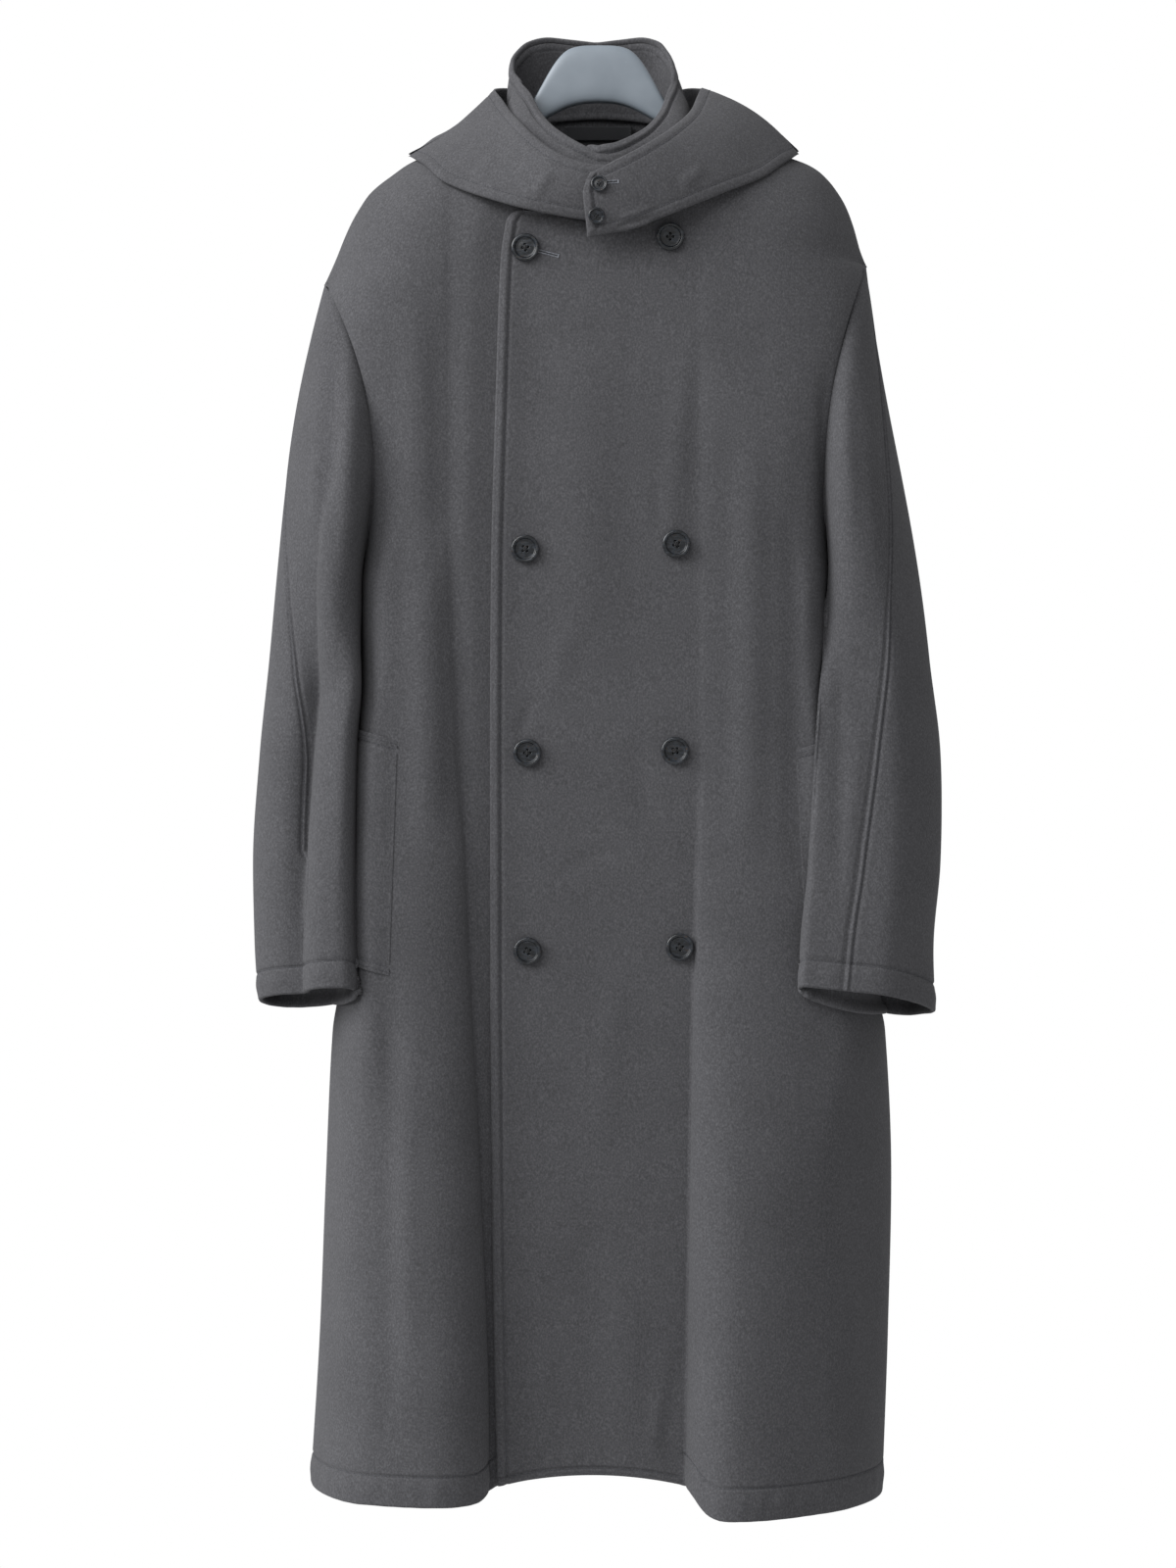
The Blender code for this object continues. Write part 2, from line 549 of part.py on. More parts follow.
def back_points():
    """Grid of the back, from the left side seam and armhole to the right ones."""
    t = np.linspace(0, 1, DENSE)
    halves = {}
    for side in (LEFT, RIGHT):
        hole = ARMHOLE[side]
        span = hole["head_z"] - UNDERARM_Z
        rows = []
        for share, angle in panel_levels():
            edge_x, _, edge_z = armhole(side, angle, BACK)
            if share < 1:
                edge_z = mix(HEM_Z, UNDERARM_Z, share)
                edge_x = side * edge(side, edge_z, BACK)[0]
            raised = ((edge_z - UNDERARM_Z) / span) ** 2 if edge_z > UNDERARM_Z else 0
            both_z = [armhole(way, angle, BACK)[2] for way in (LEFT, RIGHT)]
            middle_z = np.mean(both_z) if share == 1 else edge_z
            middle_head = np.mean([ARMHOLE[way]["head_z"] for way in (LEFT, RIGHT)])
            line = []
            spans = ((side * edge_x, NECK_HALF, hole["head_x"]), (NECK_HALF, 0, NECK_HALF))
            for start, end, head in spans:
                x = mix(start, end, t**2)
                top_x = mix(head, end, t**2)
                rise = BACK_NECK_RISE * (1 - (top_x / NECK_HALF) ** 2)
                top = np.where(top_x < NECK_HALF, NECK_Z + rise, shoulder(side * top_x))
                inward = 1 - x / (side * edge_x)
                level, head_z = mix(edge_z, middle_z, inward), mix(hole["head_z"], middle_head, inward)
                z = level + raised * (top - head_z)
                y = body_y(side * x, z, BACK)
                line.append(np.stack([side * x, y + SEAM / 2, z], axis=1))
            rest = resample(line[0], BACK_SIDE_COLUMNS, (SEAM_STRIP, 0))
            neck = resample(line[1], BACK_NECK_COLUMNS)
            rows.append(np.concatenate([rest, neck[1:]]))
        halves[side] = np.array(rows)
    return np.concatenate([halves[LEFT], halves[RIGHT][:, -2::-1]], axis=1)


def sleeve_ring(side, angle, z):
    """A leaning oval round a sleeve at height z, with one long hollow. Angle 0 is outermost, then front."""
    names = ("centre_x", "half_x", "centre_y", "half_y", "lean")
    row = {name: read(SLEEVE[side], name, z) for name in names}
    hollow = SLEEVE_HOLLOW[side]
    off = (np.degrees(angle) - hollow["degrees"] + 180) % 360 - 180
    deep = hollow["depth"] * ease((HOLLOW_START - z) / (HOLLOW_START - HOLLOW_FULL))
    size = 1 - deep * bump(off / hollow["half"])
    x = row["centre_x"] + row["half_x"] * np.cos(angle) * size
    y = row["centre_y"] + (-row["half_y"] * np.sin(angle) + row["lean"] * np.cos(angle)) * size
    return np.stack([side * x, y, z], axis=-1)


def sleeve_point(side, angle, step):
    """A point of the sleeve: step 0 to 1 from the armhole to the full section, 1 to 2 on to the cuff."""
    full_z = SLEEVE_FULL_Z - SLEEVE_UNDER_DROP * (1 - np.cos(angle)) / 2
    full = sleeve_ring(side, angle, full_z)
    if step > 1:
        cuff = CUFF[side]
        low = sleeve_ring(side, angle, np.full_like(angle, cuff["z"]))
        cuff_z = cuff["z"] - cuff["slope_y"] * (low[:, 1] - cuff["middle_y"])
        cuff_z = cuff_z - cuff["slope_x"] * (side * low[:, 0] - cuff["middle_x"])
        return sleeve_ring(side, angle, mix(full_z, cuff_z, step - 1))
    face = np.where(np.sin(angle) >= 0, FRONT, BACK)
    front, back = (np.stack(armhole(side, np.arccos(np.cos(angle)), way), axis=-1) for way in (FRONT, BACK))
    start = np.where(face[:, None] == FRONT, front, back)
    sine, top = np.sin(angle), np.cos(angle).clip(0)
    start[:, 0] += side * SLEEVE_SEAM["side"]
    start[:, 2] -= SLEEVE_SEAM["head"] * top
    reach = CAP_REACH * np.linalg.norm(full - start, axis=1)[:, None]
    outwards = np.where(sine > 0, CAP_LEAVE["front"], CAP_LEAVE["back"])
    leave_x = side * (CAP_LEAVE["head"][side] + CAP_LEAVE["side"] * sine**2)
    leave = np.stack([leave_x, -outwards * sine, CAP_LEAVE["up"] * sine**2 - 1], axis=1)
    arrive = (sleeve_ring(side, angle, full_z + SLOPE_STEP) - full) / SLOPE_STEP
    return bezier(start, start + reach * leave, full + reach * arrive, full, step)


def sleeve_points(side, face):
    """Grid of half a sleeve, from cuff to armhole. The outer seam turns forwards on its way down."""
    degrees = np.array(SLEEVE_DEGREES, float)
    if face == BACK:
        degrees = 360 - degrees[::-1]
    steps = CAP_STEPS + tuple(1 + i / ARM_ROWS for i in range(ARM_ROWS + 1))
    rows = []
    for step in steps:
        head_z, cuff_z = ARMHOLE[side]["head_z"], CUFF[side]["z"]
        seam_z = mix(head_z, SLEEVE_FULL_Z, step) if step < 1 else mix(SLEEVE_FULL_Z, cuff_z, step - 1)
        outer_turn = read(SLEEVE[side], "turn", seam_z)
        turned = mix(INNER_SEAM_TURN * ease(step), outer_turn, np.abs(1 - degrees / 180))
        angle = np.radians(degrees + turned)
        row = sleeve_point(side, angle, step)
        half, _ = edge(row[:, 0], row[:, 2], FRONT)
        limit = body_y(row[:, 0], row[:, 2], FRONT) - SLEEVE_CLEAR * ease(step / CLEAR_STEP)
        give = SLEEVE_GIVE * ease(step / CLEAR_STEP) + LEAST_GIVE
        pushed = row[:, 1] - give * np.logaddexp(0, (row[:, 1] - limit) / give)
        over_body = (np.abs(row[:, 0]) < half) & (step > 0)
        row[:, 1] = np.where(over_body, pushed, row[:, 1])
        beside = ease(2 - 2 * np.abs(row[:, 1] - SIDE_Y) / SLEEVE_BESIDE_HALF) * (row[:, 2] < UNDERARM_Z)
        short = np.maximum(half + SLEEVE_BESIDE - np.abs(row[:, 0]), 0)
        row[:, 0] += side * beside * short
        rows.append(row)
    points = np.array(rows[::-1])
    # A seam's width is taken off square to both seams
    for end, inner in ((0, 1), (-1, -2)):
        run = np.gradient(points[:, end], axis=0)
        away = points[:, inner] - points[:, end]
        away -= run * (np.sum(away * run, axis=1) / np.sum(run * run, axis=1))[:, None]
        points[:, end] += away / np.linalg.norm(away, axis=1)[:, None] * SEAM
    return points[:, ::-1] if side == LEFT else points


def neck_point(angle):
    """The collar's foot: just above the neck edge, a little inside the body's surface."""
    x = (NECK_HALF - COLLAR_INSET) * np.sin(angle)
    ahead = np.cos(angle) >= 0
    rise = BACK_NECK_RISE * (1 - (x / NECK_HALF) ** 2)
    z = np.where(ahead, read(FRONT_NECK, "z", np.abs(x)), NECK_Z + rise)
    front, back = body_y(x, z, FRONT) + COLLAR_INSET, body_y(x, z, BACK) - COLLAR_INSET
    raised = mix(COLLAR_RAISE[FRONT], COLLAR_RAISE[BACK], ease(0.5 - np.cos(angle)))
    return np.stack([x, np.where(ahead, front, back), z + raised], axis=-1)


def collar_points():
    """Grid of the stand collar, foot to rim, all round and past itself at the centre front."""
    degrees = np.linspace(COLLAR_START, COLLAR_END, COLLAR_COLUMNS + 1)
    angle = np.radians(degrees)
    off = (degrees + 180) % 360 - 180
    rim = {name: read(COLLAR_RIM, name, np.abs(off)) for name in ("x", "lean", "y", "z")}
    top = np.stack([np.sign(off) * rim["x"] + rim["lean"], rim["y"], rim["z"]], axis=-1)
    foot = neck_point(angle)
    outward = np.stack([np.sin(angle), -np.cos(angle), np.zeros_like(angle)], axis=-1)
    start_share = 1 - ease((degrees - COLLAR_START) / COLLAR_PASS_EASE)
    end_share = 1 - ease((COLLAR_END - degrees) / COLLAR_PASS_EASE)
    passing = (COLLAR_PASS * (end_share - start_share))[:, None] * outward
    rows = []
    for t in np.linspace(0, 1, COLLAR_ROWS + 1):
        rows.append(mix(foot, top, t) + passing + COLLAR_BULGE * math.sin(math.pi * t) * outward)
    return np.array(rows)


def hood_points(side, steps, columns=HOOD_COLUMNS):
    """Grid of the hood on one side, lower edge to face edge, sagging to a pouch at the back."""
    steps = np.array(steps)
    row = {name: read(HOOD[side], name, steps) for name in HOOD_NAMES.split()[1:]}
    hem = np.stack([row["hem_x"], row["hem_y"], row["hem_z"]], axis=-1)
    face = np.stack([row["face_x"], row["face_y"], row["face_z"]], axis=-1)
    along = np.gradient(mix(hem, face, 0.5), steps, axis=0)
    normal = np.cross(along, face - hem)
    normal = normal / np.linalg.norm(normal, axis=1)[:, None]
    hang = ease(row["sag"] / HOOD_FULL_SAG)[:, None]
    down = 4 / 3 * row["sag"]  # a curve hangs three quarters as deep as its two middle points
    zero = np.zeros_like(down)
    bulge = row["bulge"][:, None] * normal
    flat_in = mix(hem, face, 1 / 3) + bulge
    flat_out = mix(hem, face, 2 / 3) + bulge
    deep_in = hem + np.stack([zero, zero + HOOD_REACH_IN, -down], axis=-1)
    deep_out = face + np.stack([zero, zero + HOOD_REACH_OUT, -down], axis=-1)
    a, b = mix(flat_in, deep_in, hang), mix(flat_out, deep_out, hang)
    t = np.linspace(0, 1, columns + 1)[:, None, None]
    points = bezier(hem, a, b, face, t)
    points[..., 0] *= side
    inwards = ease(t[..., 0] / HOOD_CLEAR_SHARE)
    ahead, behind = (mix(HOOD_CLEAR_EDGE[face], HOOD_CLEAR[face], inwards) for face in (FRONT, BACK))
    x, y, z = np.moveaxis(points, -1, 0)
    clear = np.where(y < 0, ahead, behind)
    over = np.abs(y) < SHOULDER_TOP
    points[..., 2] = np.where(over, np.maximum(z, shoulder_top(x, y) + clear), z)
    before = np.minimum(y, body_y(x, z, FRONT) - clear)
    after = np.maximum(y, body_y(x, z, BACK) + clear)
    points[..., 1] = np.where(over, y, np.where(y < 0, before, after))
    return points if side == LEFT else points[:, ::-1]


def add_hood():
    for side, name in ((LEFT, "left"), (RIGHT, "right")):
        sheet(f"hood_throat_{name}", hood_points(side, THROAT_STEPS))
        pouch = hood_points(side, POUCH_STEPS + (1,))
        seam = -1 if side == LEFT else 0
        pouch[:, seam, 0] = side * SEAM / 2
        sheet(f"hood_{name}", pouch)


def add_welts():
    """Welts made from the front's own surface, moved out."""
    for side, name in ((LEFT, "left"), (RIGHT, "right")):
        welt = WELT[side]
        down = np.linspace(1, 0, WELT_ROWS + 1)[:, None]
        out = np.linspace(0, 1, WELT_COLUMNS + 1)[None, :]
        x = mix(welt["top"][0], welt["bottom"][0], down) + WELT_WIDTH * out
        z = mix(welt["top"][1], welt["bottom"][1], down) + WELT_RISE * out
        x, z = np.broadcast_arrays(side * x, z)
        frames = [body_frame(*place, FRONT) for place in zip(x.flat, z.flat)]
        points = np.array([place + (WELT_LIFT + CLOTH) * normal for place, normal in frames])
        points = points.reshape(*x.shape, 3)
        sheet(f"pocket_welt_{name}", points if side == LEFT else points[:, ::-1])


def add_label():
    across = np.linspace(LABEL_HALF, -LABEL_HALF, LABEL_COLUMNS + 1)[None, :]
    up = np.linspace(LABEL_BOTTOM, LABEL_TOP, LABEL_ROWS + 1)[:, None]
    x, z = np.broadcast_arrays(across, up)
    y = body_y(x, z, BACK) - CLOTH - LABEL_GAP
    sheet("neck_label", np.stack([x, y, z], axis=-1), "label", LABEL_THICK)


def add_button(name, place, normal, radius, height):
    """A turned button standing on a point, its face along the normal."""
    profile = bmesh.new()
    verts = [profile.verts.new((radius * x, 0, height * z)) for x, z in BUTTON_PROFILE]
    for above, below in zip(verts, verts[1:]):
        profile.edges.new((above, below))
    mesh = bpy.data.meshes.new(name)
    profile.to_mesh(mesh)
    profile.free()
    obj = add_object(name, mesh, "horn")
    turn = obj.modifiers.new("turn", "SCREW")
    turn.steps = turn.render_steps = BUTTON_TURNS
    turn.use_merge_vertices = True
    turn.merge_threshold = BUTTON_MERGE
    obj.location = place + BUTTON_LIFT * normal
    obj.rotation_euler = normal.to_track_quat("Z", "Y").to_euler()


def add_buttons():
    for name, (x, z) in FRONT_BUTTONS.items():
        place, normal = body_frame(x, z, FRONT)
        add_button(f"button_{name}", place, normal, BUTTON_RADIUS, BUTTON_HEIGHT)
    for name, (along, up) in THROAT_BUTTONS.items():
        patch = hood_points(LEFT, (along, along + PATCH_STEP), columns=PATCH_COLUMNS)
        row = round(PATCH_COLUMNS * up)
        place = Vector(patch[row, 0])
        side_way, up_way = Vector(patch[row, 1]) - place, Vector(patch[row + 1, 0]) - place
        normal = side_way.cross(up_way).normalized()
        add_button(f"button_throat_{name}", place, normal, THROAT_BUTTON_RADIUS, THROAT_BUTTON_HEIGHT)


def add_hanger():
    x = np.linspace(-HANGER["x"][-1], HANGER["x"][-1], HANGER_COLUMNS + 1)
    top, bottom = read(HANGER, "top", np.abs(x)), read(HANGER, "bottom", np.abs(x))
    z = np.stack([bottom, top])
    points = np.stack([np.broadcast_to(x, z.shape), np.full_like(z, -HANGER_THICK / 2), z], axis=-1)
    obj = sheet("hanger", points, "plastic", HANGER_THICK)
    rounded = obj.modifiers.new("round edges", "BEVEL")
    rounded.width = HANGER_ROUND
    rounded.segments = 2


for old in list(bpy.data.objects):
    bpy.data.objects.remove(old)
coat = bpy.data.collections.new("hooded_overcoat_on_hanger")
bpy.context.scene.collection.children.link(coat)

sheet("front_left", front_points(LEFT))
sheet("front_right", front_points(RIGHT))
sheet("back", back_points())
for side, side_name in ((LEFT, "left"), (RIGHT, "right")):
    sheet(f"sleeve_{side_name}_front", sleeve_points(side, FRONT))
    sheet(f"sleeve_{side_name}_back", sleeve_points(side, BACK))
sheet("collar", collar_points())
add_hood()
add_welts()
add_label()
add_buttons()
add_hanger()
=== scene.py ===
"""Looks of the hooded double-breasted overcoat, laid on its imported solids.

Metres, +Z up, +X to the wearer's left, +Y to the back. The origin is the top of the hanger's crown.
Every cloth piece is a fine grid on the same surface as its solid, with creases, seams and stitched edges
added along the surface's normals, and a wall with a half-round rim.
"""

import math

import bpy
import numpy as np
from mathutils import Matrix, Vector


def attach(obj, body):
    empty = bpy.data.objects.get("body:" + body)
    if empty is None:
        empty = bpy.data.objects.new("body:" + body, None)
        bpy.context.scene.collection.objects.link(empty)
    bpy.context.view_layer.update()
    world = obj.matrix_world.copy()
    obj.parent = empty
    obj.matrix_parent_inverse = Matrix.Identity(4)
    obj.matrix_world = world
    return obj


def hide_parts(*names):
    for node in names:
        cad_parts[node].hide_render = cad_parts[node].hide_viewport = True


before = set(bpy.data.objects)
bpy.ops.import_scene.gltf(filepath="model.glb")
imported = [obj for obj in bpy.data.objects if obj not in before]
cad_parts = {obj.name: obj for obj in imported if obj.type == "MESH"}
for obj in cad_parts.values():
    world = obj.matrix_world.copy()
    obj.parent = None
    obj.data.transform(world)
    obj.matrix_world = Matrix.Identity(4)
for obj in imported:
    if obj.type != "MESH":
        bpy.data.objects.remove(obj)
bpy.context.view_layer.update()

RIGHT, LEFT = -1, 1
FRONT, BACK = -1, 1
SIDES = {"left": LEFT, "right": RIGHT}
FACES = {"front": FRONT, "back": BACK}
MM = 0.001

# Camera, level and square to the front of the coat
CAMERA_AT = (-0.0099, -3.0, -0.6777)
LENS, SENSOR = 75, 36
FLOOR_Z, FLOOR_HALF = -2.0, 2.2

# Body
SEAM = 0.0004  # gap between two pieces that are sewn together
HEM_Z = -1.320
HEM_LIFT, HEM_ARCH = 0.0195, 0.010  # the hem's rise at the centre front, and how much of it is an arch
HEM_LIFT_X, HEM_LIFT_HALF, HEM_LIFT_FADE = -0.006, 0.085, 0.018
HEM_LIFT_POWER = 5  # the rise dies out this fast up the skirt
HEM_DROP, HEM_DROP_X, HEM_DROP_FADE = 0.009, 0.078, 0.03  # the left front's fold hangs lower
UNDERARM_Z = -0.50
SIDE_Y = 0.03  # the side seams lie behind the shoulder line
ROUND_DROP = {FRONT: 0.13, BACK: 0.12}  # over which front and back round away from the shoulder
FLATTEN, FLATTEN_HALF = 0.1, 0.25  # the front gets shallower towards the sides
NECK_HALF, NECK_Z = 0.085, -0.066
BACK_NECK_RISE = 0.016
CREST_RISE = {FRONT: 0.04, BACK: 0.115}  # the shoulder's rounding carried on over the neck opening
UNDERLAP_X = 0.06  # the under front ends here, past the centre
UNDERLAP_DROP, UNDERLAP_EASE = 0.0042, 0.03
UNDERLAP_TOP, UNDERLAP_FADE = -0.165, 0.04
CORNER = 0.012  # round top corner of the outer front
HEM_FOOT, HEM_FOOT_FADE = 0.0765, 0.004  # where the centre front's hem ends and its fold begins
TOP_EDGE_X = 0.0  # the outer front's top edge is stitched up to here, and sewn to the collar beyond


def table(names, *rows):
    """Named columns from rows of numbers. The first column rises."""
    return dict(zip(names.split(), np.array(sorted(rows), float).T))


def read(columns, name, at):
    """A column as a smooth curve over the first one: a cubic that doesn't overshoot its rows."""
    place = next(iter(columns.values()))
    value = columns[name]
    step = np.diff(place)
    slope = np.diff(value) / step
    before, after = slope[:-1], slope[1:]
    same_way = before * after > 0
    mean = np.where(same_way, before + after, 1)
    turn = np.where(same_way, 2 * before * after / mean, 0)
    tangent = np.concatenate([slope[:1], turn, slope[-1:]])
    at = np.clip(at, place[0], place[-1])
    i = np.clip(np.searchsorted(place, at, side="right") - 1, 0, len(step) - 1)
    t = (at - place[i]) / step[i]
    ends = value[i] * (1 + 2 * t) * (1 - t) ** 2 + value[i + 1] * t * t * (3 - 2 * t)
    return ends + step[i] * t * (1 - t) * (tangent[i] * (1 - t) - tangent[i + 1] * t)


# Shoulder lines, from the neck point to the sleeve head
SHOULDER = table(
    "x right left",
    (0.085, -0.0660, -0.0660),
    (0.120, -0.0845, -0.0825),
    (0.150, -0.0985, -0.0945),
    (0.175, -0.1105, -0.1040),
    (0.190, -0.1210, -0.1095),
    (0.200, -0.1282, -0.1150),
    (0.210, -0.1372, -0.1240),
    (0.218, -0.1485, -0.1340),
    (0.226, -0.1620, -0.1470),
    (0.2335, -0.1780, -0.1660),
    (0.240, -0.1940, -0.1885),
    (0.246, -0.2075, -0.2030),
    (0.252, -0.2200, -0.2160),
)
# Neck edge of a front, x towards that front's own side
FRONT_NECK = table(
    "x z",
    (-0.085, -0.1655),
    (-0.040, -0.1680),
    (0.000, -0.175),
    (0.030, -0.163),
    (0.055, -0.132),
    (0.075, -0.092),
    (0.085, -0.066),
)
# Half widths to the side seams, how far front and back stand from the shoulder line, rounding to the sides
BODY = table(
    "z right left front back round",
    (-0.20, 0.225, 0.225, 0.086, 0.088, 0.100),
    (-0.36, 0.221, 0.216, 0.090, 0.094, 0.045),
    (-0.50, 0.2235, 0.216, 0.088, 0.096, 0.034),
    (-0.56, 0.2235, 0.218, 0.087, 0.097, 0.036),
    (-0.65, 0.2295, 0.223, 0.084, 0.099, 0.032),
    (-0.75, 0.233, 0.233, 0.080, 0.102, 0.032),
    (-0.86, 0.239, 0.254, 0.074, 0.106, 0.040),
    (-0.905, 0.246, 0.265, 0.072, 0.108, 0.050),
    (-1.04, 0.2526, 0.271, 0.066, 0.113, 0.080),
    (-1.18, 0.258, 0.268, 0.057, 0.119, 0.070),
    (-1.32, 0.2665, 0.263, 0.050, 0.124, 0.055),
)
# Free edge of the outer front
OVERLAP = table(
    "z x",
    (-0.17, -0.0804),
    (-0.21, -0.0859),
    (-0.33, -0.0902),
    (-0.50, -0.0946),
    (-0.67, -0.0955),
    (-0.85, -0.0955),
    (-1.00, -0.0945),
    (-1.20, -0.0925),
    (-1.30, -0.0905),
)
# The large folds of the skirt: one on each front, three on the back
FRONT_ROLLS = {
    RIGHT: table(
        "z crest inner outer height",
        (-0.45, 0.175, 0.040, 0.19, 0.003),
        (-0.60, 0.172, 0.045, 0.19, 0.010),
        (-0.80, 0.168, 0.050, 0.19, 0.022),
        (-1.00, 0.156, 0.048, 0.19, 0.032),
        (-1.20, 0.149, 0.049, 0.19, 0.042),
        (-1.32, 0.145, 0.046, 0.19, 0.048),
    ),
    LEFT: table(
        "z crest inner outer height",
        (-0.65, 0.140, 0.050, 0.16, 0.002),
        (-0.80, 0.134, 0.048, 0.16, 0.013),
        (-0.95, 0.128, 0.045, 0.16, 0.027),
        (-1.10, 0.125, 0.044, 0.16, 0.041),
        (-1.25, 0.122, 0.043, 0.16, 0.054),
        (-1.32, 0.120, 0.042, 0.16, 0.062),
    ),
}
BACK_ROLLS = table(
    "x half height start",
    (-0.125, 0.075, 0.030, -0.75),
    (0.015, 0.065, 0.024, -0.85),
    (0.140, 0.080, 0.034, -0.70),
)

# Armholes: sleeve head, underarm, and how far front and back edges curve in
ARMHOLE = {
    RIGHT: dict(head_x=0.252, head_z=-0.220, under_x=0.2235, inset={FRONT: 0.0325, BACK: 0.015}),
    LEFT: dict(head_x=0.246, head_z=-0.203, under_x=0.216, inset={FRONT: 0.0235, BACK: 0.015}),
}
ARMHOLE_DEPTH = {FRONT: 0.085, BACK: 0.066}
SLEEVE_TUCK = 0.003  # the sleeve's edge goes this far under the edge of the armhole
HEAD_IN, HEAD_UP, HEAD_POWER = 0.0012, 0.0024, 3  # at its head it goes in and up along the shoulder

# Sleeves: centre and half width across, centre and half depth, lean of the section, turn of the outer seam
SLEEVE = {
    RIGHT: table(
        "z centre_x half_x centre_y half_y lean turn",
        (-0.22, 0.2520, 0.040, -0.030, 0.063, 0.027, 0),
        (-0.40, 0.2540, 0.0330, -0.030, 0.063, 0.027, 12),
        (-0.50, 0.2555, 0.0390, -0.030, 0.063, 0.027, 43),
        (-0.56, 0.2575, 0.044, -0.030, 0.063, 0.027, 69),
        (-0.65, 0.2635, 0.047, -0.032, 0.063, 0.027, 100),
        (-0.75, 0.2670, 0.0495, -0.034, 0.062, 0.027, 101),
        (-0.82, 0.2660, 0.0490, -0.035, 0.060, 0.027, 93),
        (-0.90, 0.2610, 0.0485, -0.036, 0.058, 0.027, 86),
    ),
    LEFT: table(
        "z centre_x half_x centre_y half_y lean turn",
        (-0.203, 0.2500, 0.048, -0.030, 0.058, 0.031, 0),
        (-0.40, 0.2440, 0.0340, -0.030, 0.058, 0.031, 49),
        (-0.50, 0.2485, 0.0455, -0.030, 0.058, 0.031, 80),
        (-0.56, 0.2525, 0.0505, -0.032, 0.058, 0.031, 89),
        (-0.65, 0.2525, 0.0605, -0.038, 0.058, 0.031, 99),
        (-0.75, 0.2490, 0.0630, -0.047, 0.058, 0.031, 107),
        (-0.82, 0.2420, 0.0630, -0.055, 0.058, 0.031, 110),
        (-0.90, 0.2400, 0.0670, -0.060, 0.058, 0.031, 114),
    ),
}
# One long hollow down each sleeve: its place in degrees round it and its depth as a share of the radius
SLEEVE_HOLLOW = {
    RIGHT: table(
        "z place depth",
        (-0.22, 66, 0.00),
        (-0.30, 66, 0.30),
        (-0.40, 68, 0.30),
        (-0.46, 72, 0.28),
        (-0.52, 84, 0.34),
        (-0.56, 98, 0.42),
        (-0.60, 111, 0.48),
        (-0.72, 103, 0.50),
        (-0.80, 94, 0.50),
        (-0.87, 86, 0.50),
    ),
    LEFT: table(
        "z place depth",
        (-0.38, -22, 0.00),
        (-0.56, -22, 0.10),
        (-0.87, -22, 0.10),
    ),
}
HOLLOW_OUTER = {RIGHT: 75, LEFT: 34}  # degrees from the hollow's bottom to its soft side
HOLLOW_FRONT = {RIGHT: 40, LEFT: 34}  # and to its other side
HOLLOW_ROLL = {RIGHT: 1, LEFT: 0}  # that side is rolled over, or as soft as the outer one
SWELL = {RIGHT: 0.011, LEFT: 0.002}  # the roll beside the body is fuller in front
SWELL_AT, SWELL_HALF = 158, 42  # degrees
FLAT_FRONT = {RIGHT: 0.2, LEFT: 0.050}  # the front of a sleeve stands no further than this from its middle
FLAT_SOFT = 0.003
SLEEVE_FULL_Z, SLEEVE_UNDER_DROP = -0.56, 0.05  # the sleeve has its full section from here on
CUFF = {
    RIGHT: dict(z=-0.870, slope_x=0.0, middle_x=0.26, slope_y=0.2, middle_y=-0.035),
    LEFT: dict(z=-0.872, slope_x=0.1, middle_x=0.25, slope_y=0.2, middle_y=-0.060),
}
INNER_SEAM_TURN = 32  # degrees, to the back and against the body
CAP_REACH = 0.4
# How the cloth leaves the armhole: sideways at the head, more so and less steeply at front and back
CAP_LEAVE = dict(head={RIGHT: 0.27, LEFT: 0.11}, side=-0.06, front=0.60, back=0.08, up=0.2)
SLEEVE_CLEAR, SLEEVE_GIVE, CLEAR_STEP = 0.006, 0.003, 0.35  # where the sleeve lies over the front
LEAST_GIVE = 1e-6
# The sleeve's front laps over the underarm: how far, at which height and degrees round the sleeve
SLEEVE_LAP, LAP_Z, LAP_HALF_Z, LAP_TURN, LAP_HALF_TURN = 0.008, -0.535, 0.11, 150, 55
SLEEVE_BESIDE, SLEEVE_BESIDE_HALF = -0.0008, 0.060  # clear of the side seam, and how far to each side of it

# Stand collar: an upright strip whose ends pass each other at the centre front
COLLAR_START, COLLAR_END = -378, 24  # degrees round the neck, 0 at the centre front
COLLAR_INSET = 0.0009
COLLAR_RAISE = {FRONT: 0.0024, BACK: 0.0007}
COLLAR_PASS, COLLAR_PASS_EASE = 0.0030, 30
# Rise of the rim where its ends cross: degrees past the centre front, inner end, outer end
COLLAR_CROSS = table(
    "past inner outer",
    (-40, 0, 0),
    (-15, 0.002, 0),
    (0, 0.005, -0.002),
    (8, 0.003, -0.006),
    (13, -0.001, -0.011),
    (18, -0.007, -0.015),
    (24, -0.010, -0.019),
)
COLLAR_RIM = table(
    "degrees x lean y z",
    (0, 0.0000, -0.0010, -0.0850, -0.1140),
    (15, 0.0155, 0.0000, -0.0815, -0.1070),
    (30, 0.0300, 0.0005, -0.0735, -0.0975),
    (45, 0.0440, 0.0010, -0.0610, -0.0850),
    (60, 0.0548, 0.0010, -0.0440, -0.0690),
    (75, 0.0628, 0.0000, -0.0225, -0.0490),
    (90, 0.0710, -0.0025, -0.0010, -0.0330),
    (103, 0.0762, -0.0055, 0.0170, -0.0190),
    (117, 0.0755, -0.0065, 0.0340, -0.0060),
    (131, 0.0700, -0.0057, 0.0480, 0.0065),
    (145, 0.0613, -0.0045, 0.0580, 0.0160),
    (160, 0.0420, -0.0035, 0.0645, 0.0212),
    (170, 0.0220, -0.0027, 0.0670, 0.0196),
    (180, 0.0000, -0.0022, 0.0680, 0.0172),
)
COLLAR_BULGE = 0.003

